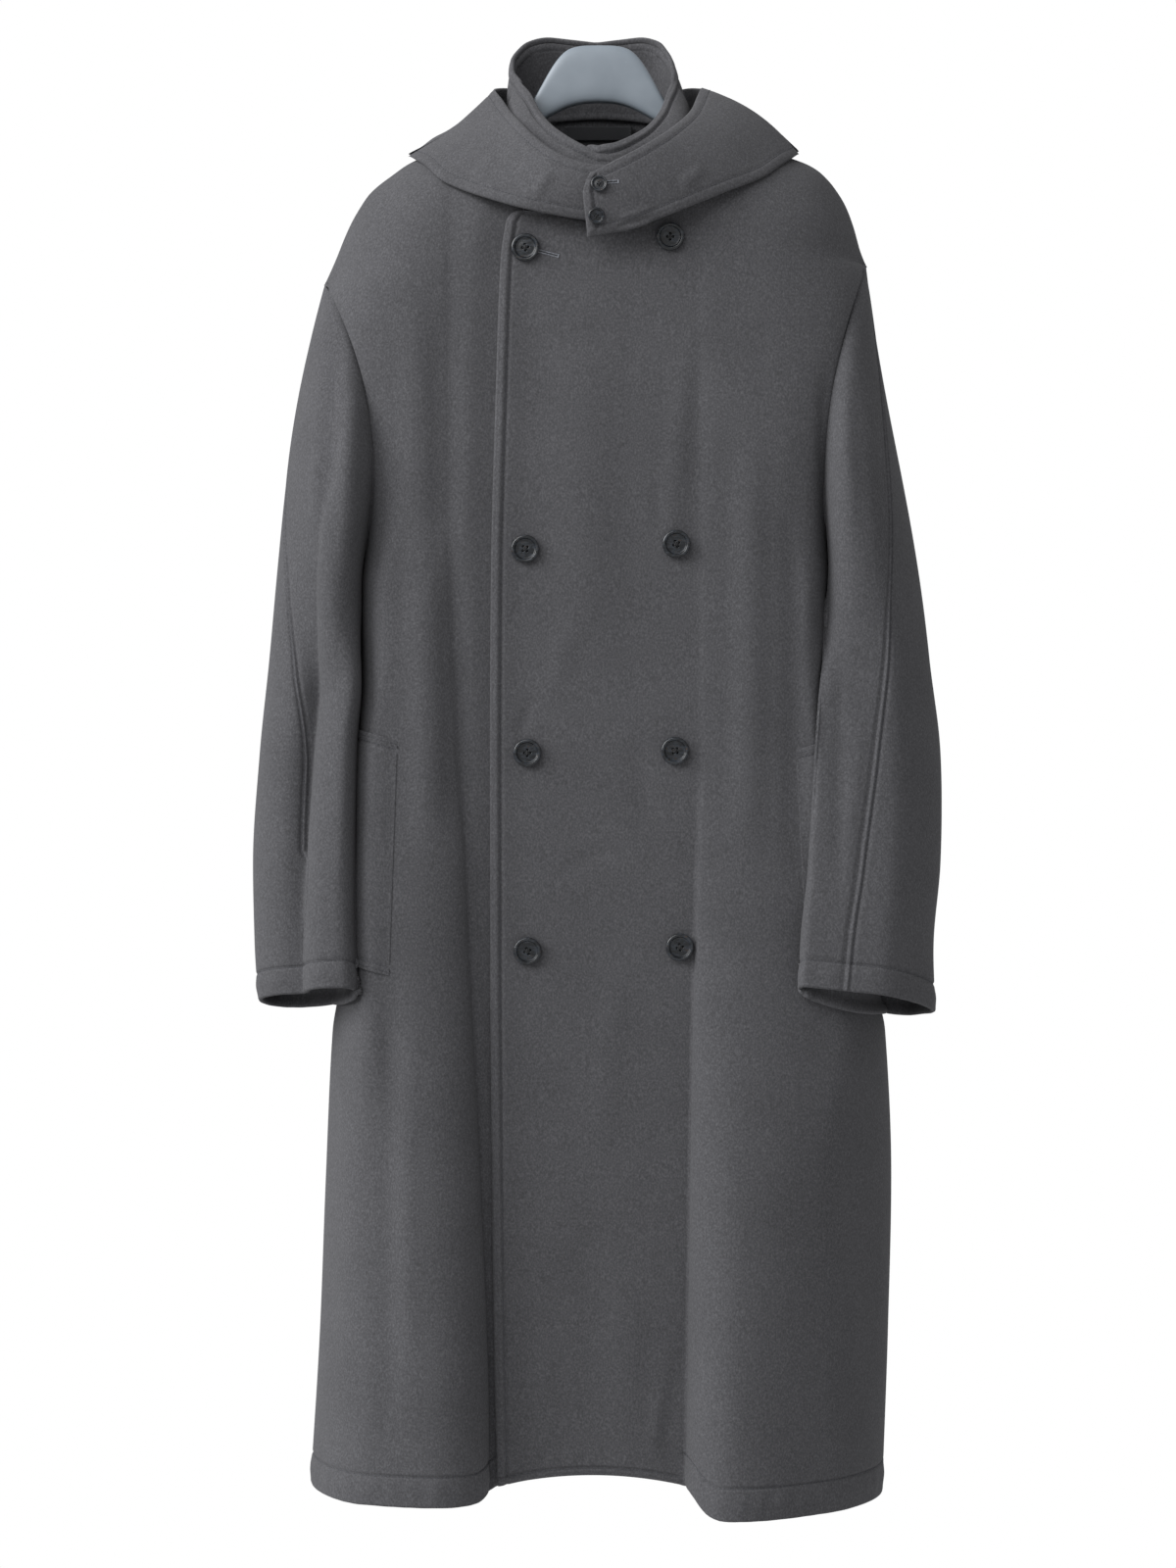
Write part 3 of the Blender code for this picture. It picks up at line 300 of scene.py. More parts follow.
# Hood: along its edge (0 at the latch, 1 at the centre back), the lower edge, the face edge, and how far
# the cloth between them bulges out and sags
HOOD_NAMES = "along hem_x hem_y hem_z face_x face_y face_z bulge sag"
HOOD_BACK = (
    (0.66, 0.162, 0.035, -0.110, 0.098, 0.045, -0.031, 0.006, 0.07),
    (0.77, 0.118, 0.058, -0.103, 0.079, 0.088, -0.024, 0.006, 0.175),
    (0.88, 0.062, 0.088, -0.080, 0.048, 0.125, -0.040, 0.006, 0.235),
    (1.00, 0.000, 0.094, -0.074, 0.000, 0.141, -0.056, 0.006, 0.25),
    (1.12, -0.062, 0.088, -0.080, -0.048, 0.125, -0.040, 0.006, 0.235),
)
HOOD = {
    LEFT: table(
        HOOD_NAMES,
        (0.00, -0.0085, -0.1130, -0.1935, -0.0150, -0.117, -0.1420, 0.006, 0),
        (0.12, 0.0300, -0.1135, -0.1845, 0.0120, -0.114, -0.1285, 0.006, 0),
        (0.24, 0.0620, -0.1100, -0.1720, 0.0380, -0.103, -0.1130, 0.006, 0),
        (0.36, 0.1080, -0.0920, -0.1500, 0.0640, -0.078, -0.0920, 0.007, 0),
        (0.47, 0.1490, -0.0620, -0.1290, 0.0850, -0.040, -0.0660, 0.010, 0),
        (0.56, 0.1830, -0.0120, -0.1025, 0.0945, 0.002, -0.0380, 0.013, 0),
        *HOOD_BACK,
    ),
    RIGHT: table(
        HOOD_NAMES,
        (0.00, -0.0120, -0.1040, -0.1790, -0.0145, -0.1040, -0.1310, 0.006, 0),
        (0.12, 0.0169, -0.1045, -0.1755, 0.0100, -0.1035, -0.1285, 0.006, 0),
        (0.24, 0.0577, -0.1040, -0.1676, 0.0360, -0.0965, -0.1180, 0.006, 0),
        (0.36, 0.0970, -0.0940, -0.1548, 0.0600, -0.0750, -0.0970, 0.005, 0),
        (0.47, 0.1422, -0.0600, -0.1326, 0.0830, -0.0360, -0.0660, 0.001, 0),
        (0.56, 0.1740, -0.0130, -0.1070, 0.0950, 0.0020, -0.0410, -0.003, 0),
        *HOOD_BACK,
    ),
}
HOOD_FULL_SAG = 0.12
HOOD_REACH_IN, HOOD_REACH_OUT = 0.012, 0.055
HOOD_CLEAR = {FRONT: 0.010, BACK: 0.019}
HOOD_CLEAR_EDGE = {FRONT: 0.0076, BACK: 0.013}
HOOD_CLEAR_SHARE = 0.3  # of the way in from the edge, to the full clearance
SHOULDER_TOP = 0.05  # within this of the shoulder line the hood is kept clear upwards, past it outwards
HOOD_JOIN, HOOD_GAP = 0.56, 0.0003  # along the edge, where the throat flap joins the pouch
HOOD_GROOVE = 0.35  # the hood's long edges are only lightly stitched
SOFT_PASSES = 24  # of evening out, where the hood is moved clear of the shoulders
LATCH_CORNER, LATCH_DEPTH, LATCH_CORNER_EASE = 0.0085, 0.017, 0.035  # the latch's upper corner, cut round

# Pocket welts, from the inner edge towards the side
WELT = {
    RIGHT: dict(top=(0.1797, -0.6405), bottom=(0.187, -0.848)),
    LEFT: dict(top=(0.1767, -0.648), bottom=(0.186, -0.850)),
}
WELT_WIDTH, WELT_RISE, WELT_LIFT = 0.034, 0.010, 0.0003
WELT_STITCH = 0.0026
WELT_THIN, WELT_THIN_WIDTH = 0.0008, 0.014  # the welt lies flat at its inner edge

# Buttons, buttonholes and throat latch
BUTTON_RADIUS, THROAT_BUTTON_RADIUS = 0.0125, 0.0073
BUTTON_HEIGHT, THROAT_BUTTON_HEIGHT = 0.0045, 0.0032
BUTTON_LIFT = 0.0010
FRONT_BUTTONS = dict(
    right_1=(-0.0658, -0.1993),
    right_2=(-0.0658, -0.4682),
    right_3=(-0.0640, -0.6498),
    right_4=(-0.0640, -0.8270),
    left_1=(0.0634, -0.1897),
    left_2=(0.0687, -0.4638),
    left_3=(0.0678, -0.6480),
    left_4=(0.0722, -0.8235),
)
THROAT_BUTTONS = dict(upper=(0.050, 0.77), lower=(0.027, 0.29))  # along the hood's edge, and up from it
# Half profile of a button's face and back: radius and height as shares of the button's own
BUTTON_PROFILE = table(
    "run radius height",
    (0.00, 0.00, 0.60),
    (0.20, 0.30, 0.57),
    (0.36, 0.58, 0.52),
    (0.44, 0.68, 0.55),
    (0.50, 0.745, 0.80),
    (0.56, 0.80, 0.97),
    (0.63, 0.89, 1.00),
    (0.70, 0.965, 0.88),
    (0.75, 1.00, 0.62),
    (0.82, 0.96, 0.22),
    (0.88, 0.86, 0.02),
    (1.00, 0.00, 0.00),
)
BUTTON_ROWS, BUTTON_TURNS = 64, 64
HOLE_RING, HOLE_RADIUS, HOLE_DEPTH = 0.0026, 0.0012, 0.0017  # four holes, on a 25 mm button
BUTTON_TILT = dict(right_1=8, right_2=40, right_3=0, right_4=20, left_1=0, left_2=25, left_3=50, left_4=12)
HOLE_EASE, HOLE_RUN = 0.0004, 0.36  # width of a hole's wall, and how far out on the face holes may lie
THROAT_TILT = 10
# Thread over a 25 mm button's face, and its shank
CORD_RADIUS, CORD_RISE, CORD_CROSS, CORD_DIP, CORD_POWER = 0.00055, 0.0005, 0.00025, 0.0021, 6
SHANK_RADIUS, SHANK_SINK, SHANK_OVER = 0.0024, 0.0006, 0.0003
CORD_POINTS, SHANK_POINTS = 15, 4
# A buttonhole's lips, and as shares of their radius or distance its beads, end bar, and the opening's
# painted shade
LIP_RADIUS, LIP_OFF, LIP_BEAD = 0.0006, 0.0010, 0.0010
LIP_BEADED, LIP_RISE = 0.28, 0.3
BAR_HALF, BAR_RISE, BAR_SIZE = 1.6, 0.4, 1.1
# the opening is a sunk black cord: painted shade where the lips part
OPENING_SHADE_SINK, OPENING_SHADE_SIZE = 0.1, 0.85
LIP_POINTS, BAR_POINTS = 60, 12
# Buttonholes beside the buttons: start, end, both across and up from the button's middle, in mm
BUTTONHOLES = dict(
    right_1=((11.0, -2.5), (29.5, -7.5)),
    right_3=((-14.2, -0.5), (-10.5, -0.2)),
    right_4=((-14.0, 0.8), (-10.5, 0.5)),
)
THROAT_BUTTONHOLE = ((7.0, 2.2), (17.0, 2.6))

# Label inside the back neck
LABEL_HALF, LABEL_TOP, LABEL_BOTTOM = 0.0315, -0.058, -0.070
LABEL_THICK, LABEL_GAP = 0.0010, 0.0020
LABEL_STITCH = 0.0012

# Hanger: a flat moulded strip, its top and bottom edges
HANGER = table(
    "x top bottom",
    (0.0, 0.0, -0.0520),
    (0.0120, -0.0002, -0.0526),
    (0.0200, -0.0012, -0.0540),
    (0.0270, -0.0034, -0.0560),
    (0.0325, -0.0072, -0.0582),
    (0.0390, -0.0145, -0.0615),
    (0.0445, -0.0228, -0.0645),
    (0.0500, -0.0325, -0.0678),
    (0.0575, -0.0460, -0.0720),
    (0.0680, -0.0610, -0.0820),
    (0.0800, -0.0720, -0.0930),
    (0.1000, -0.0785, -0.1020),
    (0.1200, -0.0885, -0.1110),
    (0.1600, -0.1070, -0.1270),
    (0.1900, -0.1250, -0.1420),
)
HANGER_THICK = 0.016
HANGER_SQUARE = 4.5  # power of the section's rounded square
HANGER_END, HANGER_TIP = 0.012, 0.02  # rounded ends, and the share of the section left at their tips
HANGER_CROWD = 1.3  # power that crowds the columns towards the crown
MOULD_LINE, MOULD_LINE_HALF = 0.02, 0.08  # the moulding line along the edges, as shares of the section

# Walls and stitching
CLOTH, EDGE_CLOTH, COLLAR_CLOTH = 0.0022, 0.0044, 0.0044
EDGE_BAND = 0.012  # a folded edge gets its full thickness over this width
STITCH_IN, STITCH_SEAM, STITCH_CUFF = 0.0078, 0.0056, 0.0225
STITCH_HEM = {LEFT: 0.0275, RIGHT: 0.0255}
STITCH_CENTRE_HEM = 0.0058
STITCH_PITCH, STITCH_LENGTH, STITCH_RADIUS = 0.0032, 0.0023, 0.00032
STITCH_SINK = 0.5  # of a stitch's radius, sunk in the cloth
# A stitch's rings: place along it and radius, as shares
STITCH_RINGS = ((-0.5, 0.45), (-0.3, 0.95), (0.3, 0.95), (0.5, 0.45))
GROOVE_HALF, GROOVE_DEPTH = 0.0026, 0.0013
PUFF = 0.0009  # a stitched edge swells between its stitching and its rim
EDGE_STAND, EDGE_STAND_WIDTH = 0.0024, 0.030  # the outer front's free edge stands off the under front
PUCKER_STEP, PUCKER_WANDER, PUCKER = 0.021, 0.067, 0.0006  # ripples of a turned-up hem
PUCKER_SWAY, PUCKER_REACH, CENTRE_CALM, CUFF_PUCKER = 1.3, 0.75, 0.6, 0.6
SEAM_DIP, SEAM_DIP_WIDTH = 0.0013, 0.005
SEAM_FADE = 0.016  # creases die out over this width at a seam
CORNER_THIN, CORNER_THIN_WIDTH = 0.03, 0.034  # walls thin out where several pieces meet

# Creases in mm: from x, z to x, z, half width, height (below 0 a trough), sideways bend
FRONT_CREASES = (
    (-166, -225, -160, -500, 22, 2.0, 0),
    (-139, -240, -136, -500, 22, -2.0, 0),
    (-158, -430, -151, -770, 22, 3.2, 0),
    (-131, -450, -124, -740, 20, -3.6, 0),
    (-186, -800, -190, -1290, 24, -6.0, 2),
    (-222, -930, -228, -1270, 20, 2.6, 0),
    (-14, -225, -10, -580, 44, 3.0, 0),
    (78, -280, 56, -510, 16, 1.1, 0),
    (92, -265, 84, -530, 16, -1.0, 0),
    (136, -320, 134, -780, 24, 3.0, 0),
    (176, -330, 178, -800, 22, -3.4, 0),
    (203, -285, 206, -505, 14, -2.2, 0),
    (34, -620, 47, -745, 20, -0.8, 3),
    (26, -735, -44, -768, 13, -0.8, 6),
    (-20, -520, -45, -610, 18, 0.9, 0),
    (-57, -595, -73, -640, 9, -1.2, 0),
    (48, -420, 62, -455, 9, -1.0, 0),
    (-7, -1050, -8, -1292, 24, -1.0, 2),
    (25, -1100, 24, -1280, 22, 1.1, 0),
    (78, -1170, 61, -1310, 14, -0.9, 2),
    (57, -1215, 46, -1296, 9, 0.7, 0),
    (-46, -1170, -49, -1296, 16, 0.9, 0),
    (20, -830, 4, -1010, 20, 0.8, 4),
    (205, -1075, 247, -1200, 14, 1.4, 3),
)
BACK_CREASES = (
    (-152, -255, -128, -480, 24, 3.2, 4),
    (148, -245, 130, -470, 24, 3.0, -3),
    (-62, -300, -82, -570, 26, -3.2, 3),
    (68, -315, 86, -610, 26, -3.0, -4),
    (4, -610, 12, -900, 24, 2.2, 3),
    (-180, -555, -170, -870, 18, -3.2, 0),
    (186, -540, 172, -850, 18, -3.4, 2),
    (-40, -700, -30, -980, 20, 2.0, -3),
    (60, -960, 72, -1250, 18, 2.2, 3),
    (-205, -930, -212, -1230, 18, 2.6, 2),
    (212, -960, 206, -1260, 18, 2.4, -3),
)
SLEEVE_CREASES = {
    (RIGHT, FRONT): (
        (-236, -250, -243, -455, 15, -3.6, 0),
        (-218, -290, -226, -530, 13, 2.6, 0),
        (-252, -375, -255, -455, 8, 1.4, 0),
    ),
    (LEFT, FRONT): (
        (250, -330, 276, -620, 13, -1.8, -3),
        (266, -340, 291, -630, 13, 1.6, -3),
        (228, -300, 238, -490, 13, -1.6, 2),
        (216, -520, 212, -780, 11, -1.0, 0),
        (236, -600, 224, -850, 14, 1.2, 2),
    ),
    (RIGHT, BACK): (
        (-240, -330, -262, -520, 13, -2.0, 3),
        (-262, -420, -280, -640, 12, 1.8, -2),
        (-250, -650, -262, -830, 13, -1.8, 2),
    ),
    (LEFT, BACK): (
        (236, -310, 258, -500, 13, -2.0, -3),
        (262, -400, 282, -650, 13, 1.9, 2),
        (246, -640, 262, -830, 13, -1.8, -2),
    ),
}
THROAT_CREASES = {
    LEFT: (
        (12, -187, 48, -176, 4, -1.3, 0),
        (14, -180, 50, -168, 5, 1.2, 0),
        (70, -150, 95, -128, 10, 1.6, 0),
    ),
    RIGHT: (
        (-60, -160, -40, -130, 9, 1.2, 0),
        (-110, -140, -92, -110, 12, 1.6, 0),
    ),
}
POUCH_CREASES = (
    (40, -90, 26, -240, 14, -3.0, 3),
    (75, -100, 62, -230, 14, 2.6, -3),
    (104, -80, 92, -170, 12, -2.4, 0),
)
CREASE_FADE = 0.3  # of a crease's length, at each end
CREASE_FACING = 0.35  # a sleeve's creases fade where its cloth turns sideways

# Grids
DENSE = 200  # points of a line before it is cut into steps
CELL, BACK_CELL, SLEEVE_CELL = 0.0050, 0.0095, 0.0046
EDGE_STEPS = MM * np.array(
    [0, 0.5, 1, 1.8, 2.8, 4, 5.2, 6.2, 7, 7.7, 8.4, 9.2, 10.2, 11.6, 13.5, 16.5, 20.5]
)
SEAM_STEPS = np.array([0, 0.5, 1.2, 2.2, 3.4, 4.4, 5.2, 6.0, 6.8, 8, 10.5]) * MM
HEM_STEPS = np.concatenate([np.arange(0, 11, 0.9), np.arange(11, 20, 1.6), np.arange(20, 34, 1.0)]) * MM
CUFF_STEPS = np.concatenate([np.arange(0, 5, 0.8), np.arange(5, 17, 1.5), np.arange(17, 30, 1.0)]) * MM
NO_STEPS = np.array([0.0])
ARMHOLE_ROWS, CAP_ROWS, ARM_ROWS = 60, 56, 62
UNDERARM_STEP = 166  # degrees: the first row above the underarm
COLLAR_COLUMNS, COLLAR_ROWS = 190, 56
THROAT_COLUMNS, POUCH_COLUMNS = 130, 70
THROAT_ROWS, POUCH_ROWS = 64, 80
WELT_ROWS, WELT_COLUMNS = 96, 32
LABEL_COLUMNS, LABEL_ROWS = 64, 14
HANGER_COLUMNS, HANGER_TURNS = 140, 48

SLOPE_STEP = 0.003  # over which a surface's slope is taken
FLANK_SHARE = 0.35  # of the shoulder, given to the columns that climb a fold lower down

# Light: strength of the surroundings, the sky's direction, strength and softness, the key lamp's place,
# target, size and power
WORLD_LIGHT, WORLD_SEEN = 0.46, 1.0
SKY_FROM, SKY_LIGHT, SKY_SOFT = (-0.84, -0.30, 0.45), 3.3, 40
KEY_AT, KEY_TARGET, KEY_SIZE, KEY_POWER = (-0.9, -1.7, 0.9), (0.0, 0.0, -0.4), 1.2, 21


def arc(t):
    """Height of a quarter circle of radius 1, from 0 at its foot to 1."""
    return np.sqrt(1 - (1 - np.clip(t, 0, 1)) ** 2)


def ease(t):
    """A smooth step from 0 to 1."""
    t = np.clip(t, 0, 1)
    return t * t * (3 - 2 * t)


def bump(t):
    """A raised cosine: 1 at 0, level with 0 from 1 on."""
    return 0.5 + 0.5 * np.cos(math.pi * np.clip(np.abs(t), 0, 1))


def mix(a, b, t):
    """The value a share t of the way from a to b."""
    return a + (b - a) * t


def bezier(a, b, c, d, t):
    """A cubic curve from a to d, leaving towards b and arriving from c."""
    return a * (1 - t) ** 3 + 3 * b * t * (1 - t) ** 2 + 3 * c * t * t * (1 - t) + d * t**3


def armhole(side, angle, face):
    """x, y and z of the armhole edge: angle 0 at the sleeve head, pi at the underarm."""
    hole = ARMHOLE[side]
    across = np.cos(angle)
    depth = np.sin(angle)
    middle_x, half_x = (hole["head_x"] + hole["under_x"]) / 2, (hole["head_x"] - hole["under_x"]) / 2
    middle_z, half_z = (hole["head_z"] + UNDERARM_Z) / 2, (hole["head_z"] - UNDERARM_Z) / 2
    x = middle_x + half_x * across - hole["inset"][face] * depth**2
    y = SIDE_Y * (1 - across) / 2 + face * ARMHOLE_DEPTH[face] * depth
    return side * x, y, middle_z + half_z * across


def edge(x, z, face):
    """Half width and y of the body's edge on x's side: the armhole, or the side seam below it."""
    widths, depths = [], []
    for side, column in ((RIGHT, "right"), (LEFT, "left")):
        head_z = ARMHOLE[side]["head_z"]
        rise = (np.clip(z, UNDERARM_Z, head_z) - UNDERARM_Z) / (head_z - UNDERARM_Z)
        hole_x, hole_y, _ = armhole(side, np.arccos(2 * rise - 1), face)
        widths.append(np.where(z < UNDERARM_Z, read(BODY, column, z), np.abs(hole_x)))
        depths.append(hole_y)
    return np.where(x < 0, *widths), np.where(x < 0, *depths)


def shoulder(x):
    """Height of the shoulder line on x's side."""
    return np.where(x < 0, read(SHOULDER, "right", np.abs(x)), read(SHOULDER, "left", np.abs(x)))


def crest(x, face):
    """Height from which the body rounds away: the shoulder line, carried on over the neck opening."""
    over_neck = NECK_Z + CREST_RISE[face] * (1 - (x / NECK_HALF) ** 2)
    return np.where(np.abs(x) < NECK_HALF, over_neck, shoulder(x))


def front_rolls(x, z):
    """How far the fronts' folds stand out: a quarter circle from foot to crest, then a raised cosine."""
    total = 0
    for side, roll in FRONT_ROLLS.items():
        out = side * x - read(roll, "crest", z)
        inner = arc(1 + out / read(roll, "inner", z))
        outer = bump(out / read(roll, "outer", z))
        total = total + read(roll, "height", z) * np.where(out < 0, inner, outer)
    return total


def fold_foot(side, z):
    """Where the fold of a front begins, on that front's own side."""
    roll = FRONT_ROLLS[side]
    return read(roll, "crest", z) - read(roll, "inner", z)


def back_rolls(x, z):
    """How far the back's folds stand out: raised cosines that grow from their start down to the hem."""
    total = 0
    for i, middle in enumerate(BACK_ROLLS["x"]):
        start = BACK_ROLLS["start"][i]
        growth = ease((start - z) / (start - HEM_Z))
        total = total + BACK_ROLLS["height"][i] * growth * bump((x - middle) / BACK_ROLLS["half"][i])
    return total


def body_y(x, z, face):
    """y of the body's outside: level across the front or back, rounded to the shoulders and the sides."""
    half, rim = edge(x, z, face)
    column, rolls = ("front", front_rolls) if face == FRONT else ("back", back_rolls)
    depth = read(BODY, column, z) * (1 - FLATTEN * (x / FLATTEN_HALF) ** 2)
    depth = depth * arc((crest(x, face) - z) / ROUND_DROP[face]) + rolls(x, z)
    return rim + (face * depth - rim) * arc((half - np.abs(x)) / read(BODY, "round", z))


def shoulder_top(x, y):
    """Height of the coat over the shoulder, y before or behind the shoulder line: a quarter oval's drop."""
    depth = np.where(y < 0, BODY["front"][-1], BODY["back"][-1])
    drop = np.where(y < 0, ROUND_DROP[FRONT], ROUND_DROP[BACK])
    return shoulder(x) - drop * (1 - np.sqrt(1 - np.clip(y / depth, -1, 1) ** 2))


def linear(code):
    """Linear RGBA from an sRGB hex code."""
    parts = np.array([int(code[i : i + 2], 16) for i in (1, 3, 5)]) / 255
    low, high = parts / 12.92, ((parts + 0.055) / 1.055) ** 2.4
    return (*np.where(parts <= 0.04045, low, high), 1)


def add(tree, kind, inputs=(), stops=(), **settings):
    """Adds a node. Settings are its own properties, inputs its socket values or the sockets that feed them,
    stops the places and hex colours of a ramp."""
    made = tree.nodes.new(kind)
    for key, value in settings.items():
        setattr(made, key, value)
    for key, value in dict(inputs).items():
        if isinstance(value, bpy.types.NodeSocket):
            tree.links.new(value, made.inputs[key])
        else:
            made.inputs[key].default_value = value
    for i, (place, code) in enumerate(stops):
        elements = made.color_ramp.elements
        element = elements[i] if i < 2 else elements.new(place)
        element.position, element.color = place, linear(code)
    return made


def new_material(name, **sockets):
    """A material with one Principled shader and its even values, and its tree and shader."""
    material = bpy.data.materials.new(name)
    material.use_nodes = True
    tree = material.node_tree
    shader = tree.nodes["Principled BSDF"]
    for key, value in sockets.items():
        shader.inputs[key.replace("_", " ")].default_value = value
    return material, tree, shader


def milled_wool():
    """Wool melton, woven, then shrunk and raised until the weave is gone: a matt felted charcoal face
    where dark and pale fibres mix in tiny clumps, with a short nap that lies down and catches light."""
    clump, uneven, fibre = 1.5 * MM, 70 * MM, 0.7 * MM  # the fibres are 0.02 mm, drawn coarser to show
    material, tree, shader = new_material(
        "milled_wool",
        Roughness=0.95,
        Sheen_Weight=0.08,
        Sheen_Roughness=0.6,
        Sheen_Tint=linear("#d6d6d8"),
        Specular_IOR_Level=0.12,
    )
    place = add(tree, "ShaderNodeTexCoord").outputs["Object"]
    lying = add(tree, "ShaderNodeMapping", {"Vector": place, "Scale": (1, 1, 0.7)}).outputs["Vector"]
    fine = {"Vector": lying, "Detail": 2}
    clumps = add(tree, "ShaderNodeTexNoise", {**fine, "Scale": 1 / clump, "Roughness": 0.6}).outputs["Fac"]
    nap = add(tree, "ShaderNodeTexNoise", {**fine, "Scale": 1 / fibre, "Roughness": 0.7}).outputs["Fac"]
    patches = add(tree, "ShaderNodeTexNoise", {"Vector": place, "Scale": 1 / uneven, "Detail": 2})
    greys = ((0.28, "#424244"), (0.50, "#4d4d50"), (0.74, "#5d5d60"))
    grey = add(tree, "ShaderNodeValToRGB", {"Fac": clumps}, greys).outputs["Color"]
    shades = ((0.30, "#f3f3f3"), (0.70, "#ffffff"))
    shade = add(tree, "ShaderNodeValToRGB", {"Fac": patches.outputs["Fac"]}, shades).outputs["Color"]
    both = {"Factor": 1, "A": grey, "B": shade}
    colour = add(tree, "ShaderNodeMix", both, data_type="RGBA", blend_type="MULTIPLY")
    tree.links.new(colour.outputs["Result"], shader.inputs["Base Color"])
    low = add(tree, "ShaderNodeBump", {"Height": clumps, "Strength": 0.30, "Distance": 0.4 * MM})
    raised = {"Height": nap, "Strength": 0.35, "Distance": 0.25 * MM, "Normal": low.outputs["Normal"]}
    rough = add(tree, "ShaderNodeBump", raised)
    tree.links.new(rough.outputs["Normal"], shader.inputs["Normal"])
    return material


def spun(name, strand, dark, pale, **sockets):
    """A thread's material: a mottle of two tones, as fine as its strands."""
    material, tree, shader = new_material(name, **sockets)
    place = add(tree, "ShaderNodeTexCoord").outputs["Object"]
    strands = add(tree, "ShaderNodeTexNoise", {"Vector": place, "Scale": 1 / strand, "Detail": 1})
    tone = add(tree, "ShaderNodeValToRGB", {"Fac": strands.outputs["Fac"]}, ((0.35, dark), (0.65, pale)))
    tree.links.new(tone.outputs["Color"], shader.inputs["Base Color"])
    return material


def sewing_thread():
    """Spun thread in the cloth's own grey: matt, with a twist too fine to see, drawn as a 0.6 mm mottle."""
    return spun("sewing_thread", 0.6 * MM, "#303136", "#4a4b52", Roughness=0.75, Sheen_Weight=0.1)


def buttonhole_twist():
    """Thicker silk twist round a buttonhole: paler than the cloth, with a slight gloss and a 1 mm cord."""
    return spun("buttonhole_twist", 1.0 * MM, "#55575e", "#7c7f87", Roughness=0.55, Sheen_Weight=0.1)


def button_cord_and_painted_shade():
    """Waxed black button thread: matt and very dark, with a cord of 0.5 mm. Also drawn as the painted shade
    in a buttonhole's opening.
    """
    return spun("button_cord_and_painted_shade", 0.5 * MM, "#0c0c0e", "#1d1e21", Roughness=0.6)


def horn_resin():
    """Cast polyester that copies horn: nearly black, with drawn-out grey-blue and brown clouds, polished,
    so that its raised ring carries soft highlights."""
    cloud, scuff = 7 * MM, 0.7 * MM
    material, tree, shader = new_material("horn_resin", Roughness=0.26, IOR=1.54)
    place = add(tree, "ShaderNodeTexCoord").outputs["Object"]
    drawn = add(tree, "ShaderNodeMapping", {"Vector": place, "Scale": (1, 1, 2.2), "Rotation": (0, 0.5, 0)})
    wisps = {"Vector": drawn.outputs["Vector"], "Scale": 1 / cloud, "Detail": 4, "Distortion": 0.8}
    clouds = add(tree, "ShaderNodeTexNoise", wisps)
    tones = ((0.30, "#0f1114"), (0.48, "#181b1f"), (0.58, "#2b3037"), (0.66, "#26211e"), (0.78, "#4a3a33"))
    colour = add(tree, "ShaderNodeValToRGB", {"Fac": clouds.outputs["Fac"]}, tones)
    tree.links.new(colour.outputs["Color"], shader.inputs["Base Color"])
    wear = add(tree, "ShaderNodeTexNoise", {"Vector": place, "Scale": 1 / scuff, "Detail": 2})
    dull = add(tree, "ShaderNodeMapRange", {"Value": wear.outputs["Fac"], "To Min": 0.20, "To Max": 0.36})
    tree.links.new(dull.outputs["Result"], shader.inputs["Roughness"])
    return material


def woven_label():
    """Damask ribbon, bare: near black, its fine crosswise threads drawn at 0.8 mm so that they show."""
    rib = 0.8 * MM
    band = 20  # radians that a wave texture turns over one unit at scale 1
    material, tree, shader = new_material("woven_label", Roughness=0.6, Sheen_Weight=0.15)
    place = add(tree, "ShaderNodeTexCoord").outputs["Object"]
    waves = {"Vector": place, "Scale": math.tau / rib / band, "Distortion": 0.4}
    ribs = add(tree, "ShaderNodeTexWave", waves, bands_direction="Z").outputs["Fac"]
    tone = add(tree, "ShaderNodeValToRGB", {"Fac": ribs}, ((0.2, "#15161a"), (0.8, "#26282d")))
    tree.links.new(tone.outputs["Color"], shader.inputs["Base Color"])
    relief = add(tree, "ShaderNodeBump", {"Height": ribs, "Strength": 0.4, "Distance": 0.2 * MM})
    tree.links.new(relief.outputs["Normal"], shader.inputs["Normal"])
    return material


def moulded_plastic():
    """Grey polystyrene from a satin mould: cool mid grey, a faint flow mottle and scuffs from rails."""
    flow, scuff = 45 * MM, 17.5 * MM
    material, tree, shader = new_material("moulded_plastic", Roughness=0.42, IOR=1.55)
    place = add(tree, "ShaderNodeTexCoord").outputs["Object"]
    mottle = add(tree, "ShaderNodeTexNoise", {"Vector": place, "Scale": 1 / flow, "Detail": 3})
    slanted = add(tree, "ShaderNodeMapping", {"Vector": place, "Scale": (1, 1, 9), "Rotation": (0, 0.5, 0)})
    scratches = {"Vector": slanted.outputs["Vector"], "Scale": 1 / scuff, "Detail": 6, "Roughness": 0.75}
    lines = add(tree, "ShaderNodeTexNoise", scratches).outputs["Fac"]
    greys = ((0.3, "#747d86"), (0.7, "#838c95"))
    grey = add(tree, "ShaderNodeValToRGB", {"Fac": mottle.outputs["Fac"]}, greys).outputs["Color"]
    pale = add(tree, "ShaderNodeValToRGB", {"Fac": lines}, ((0.66, "#000000"), (0.72, "#ffffff")))
    both = {"Factor": pale.outputs["Color"], "A": grey, "B": linear("#9aa3ab")}
    colour = add(tree, "ShaderNodeMix", both, data_type="RGBA")
    tree.links.new(colour.outputs["Result"], shader.inputs["Base Color"])
    dull = add(tree, "ShaderNodeMapRange", {"Value": lines, "To Min": 0.34, "To Max": 0.56})
    tree.links.new(dull.outputs["Result"], shader.inputs["Roughness"])
    return material


def studio_white():
    """Matt pale grey paper."""
    material, _, _ = new_material("studio_white", Roughness=1.0, Base_Color=linear("#dedede"))
    return material


def unit(vectors):
    """Vectors over their lengths."""
    return vectors / np.linalg.norm(vectors, axis=-1, keepdims=True).clip(1e-12)


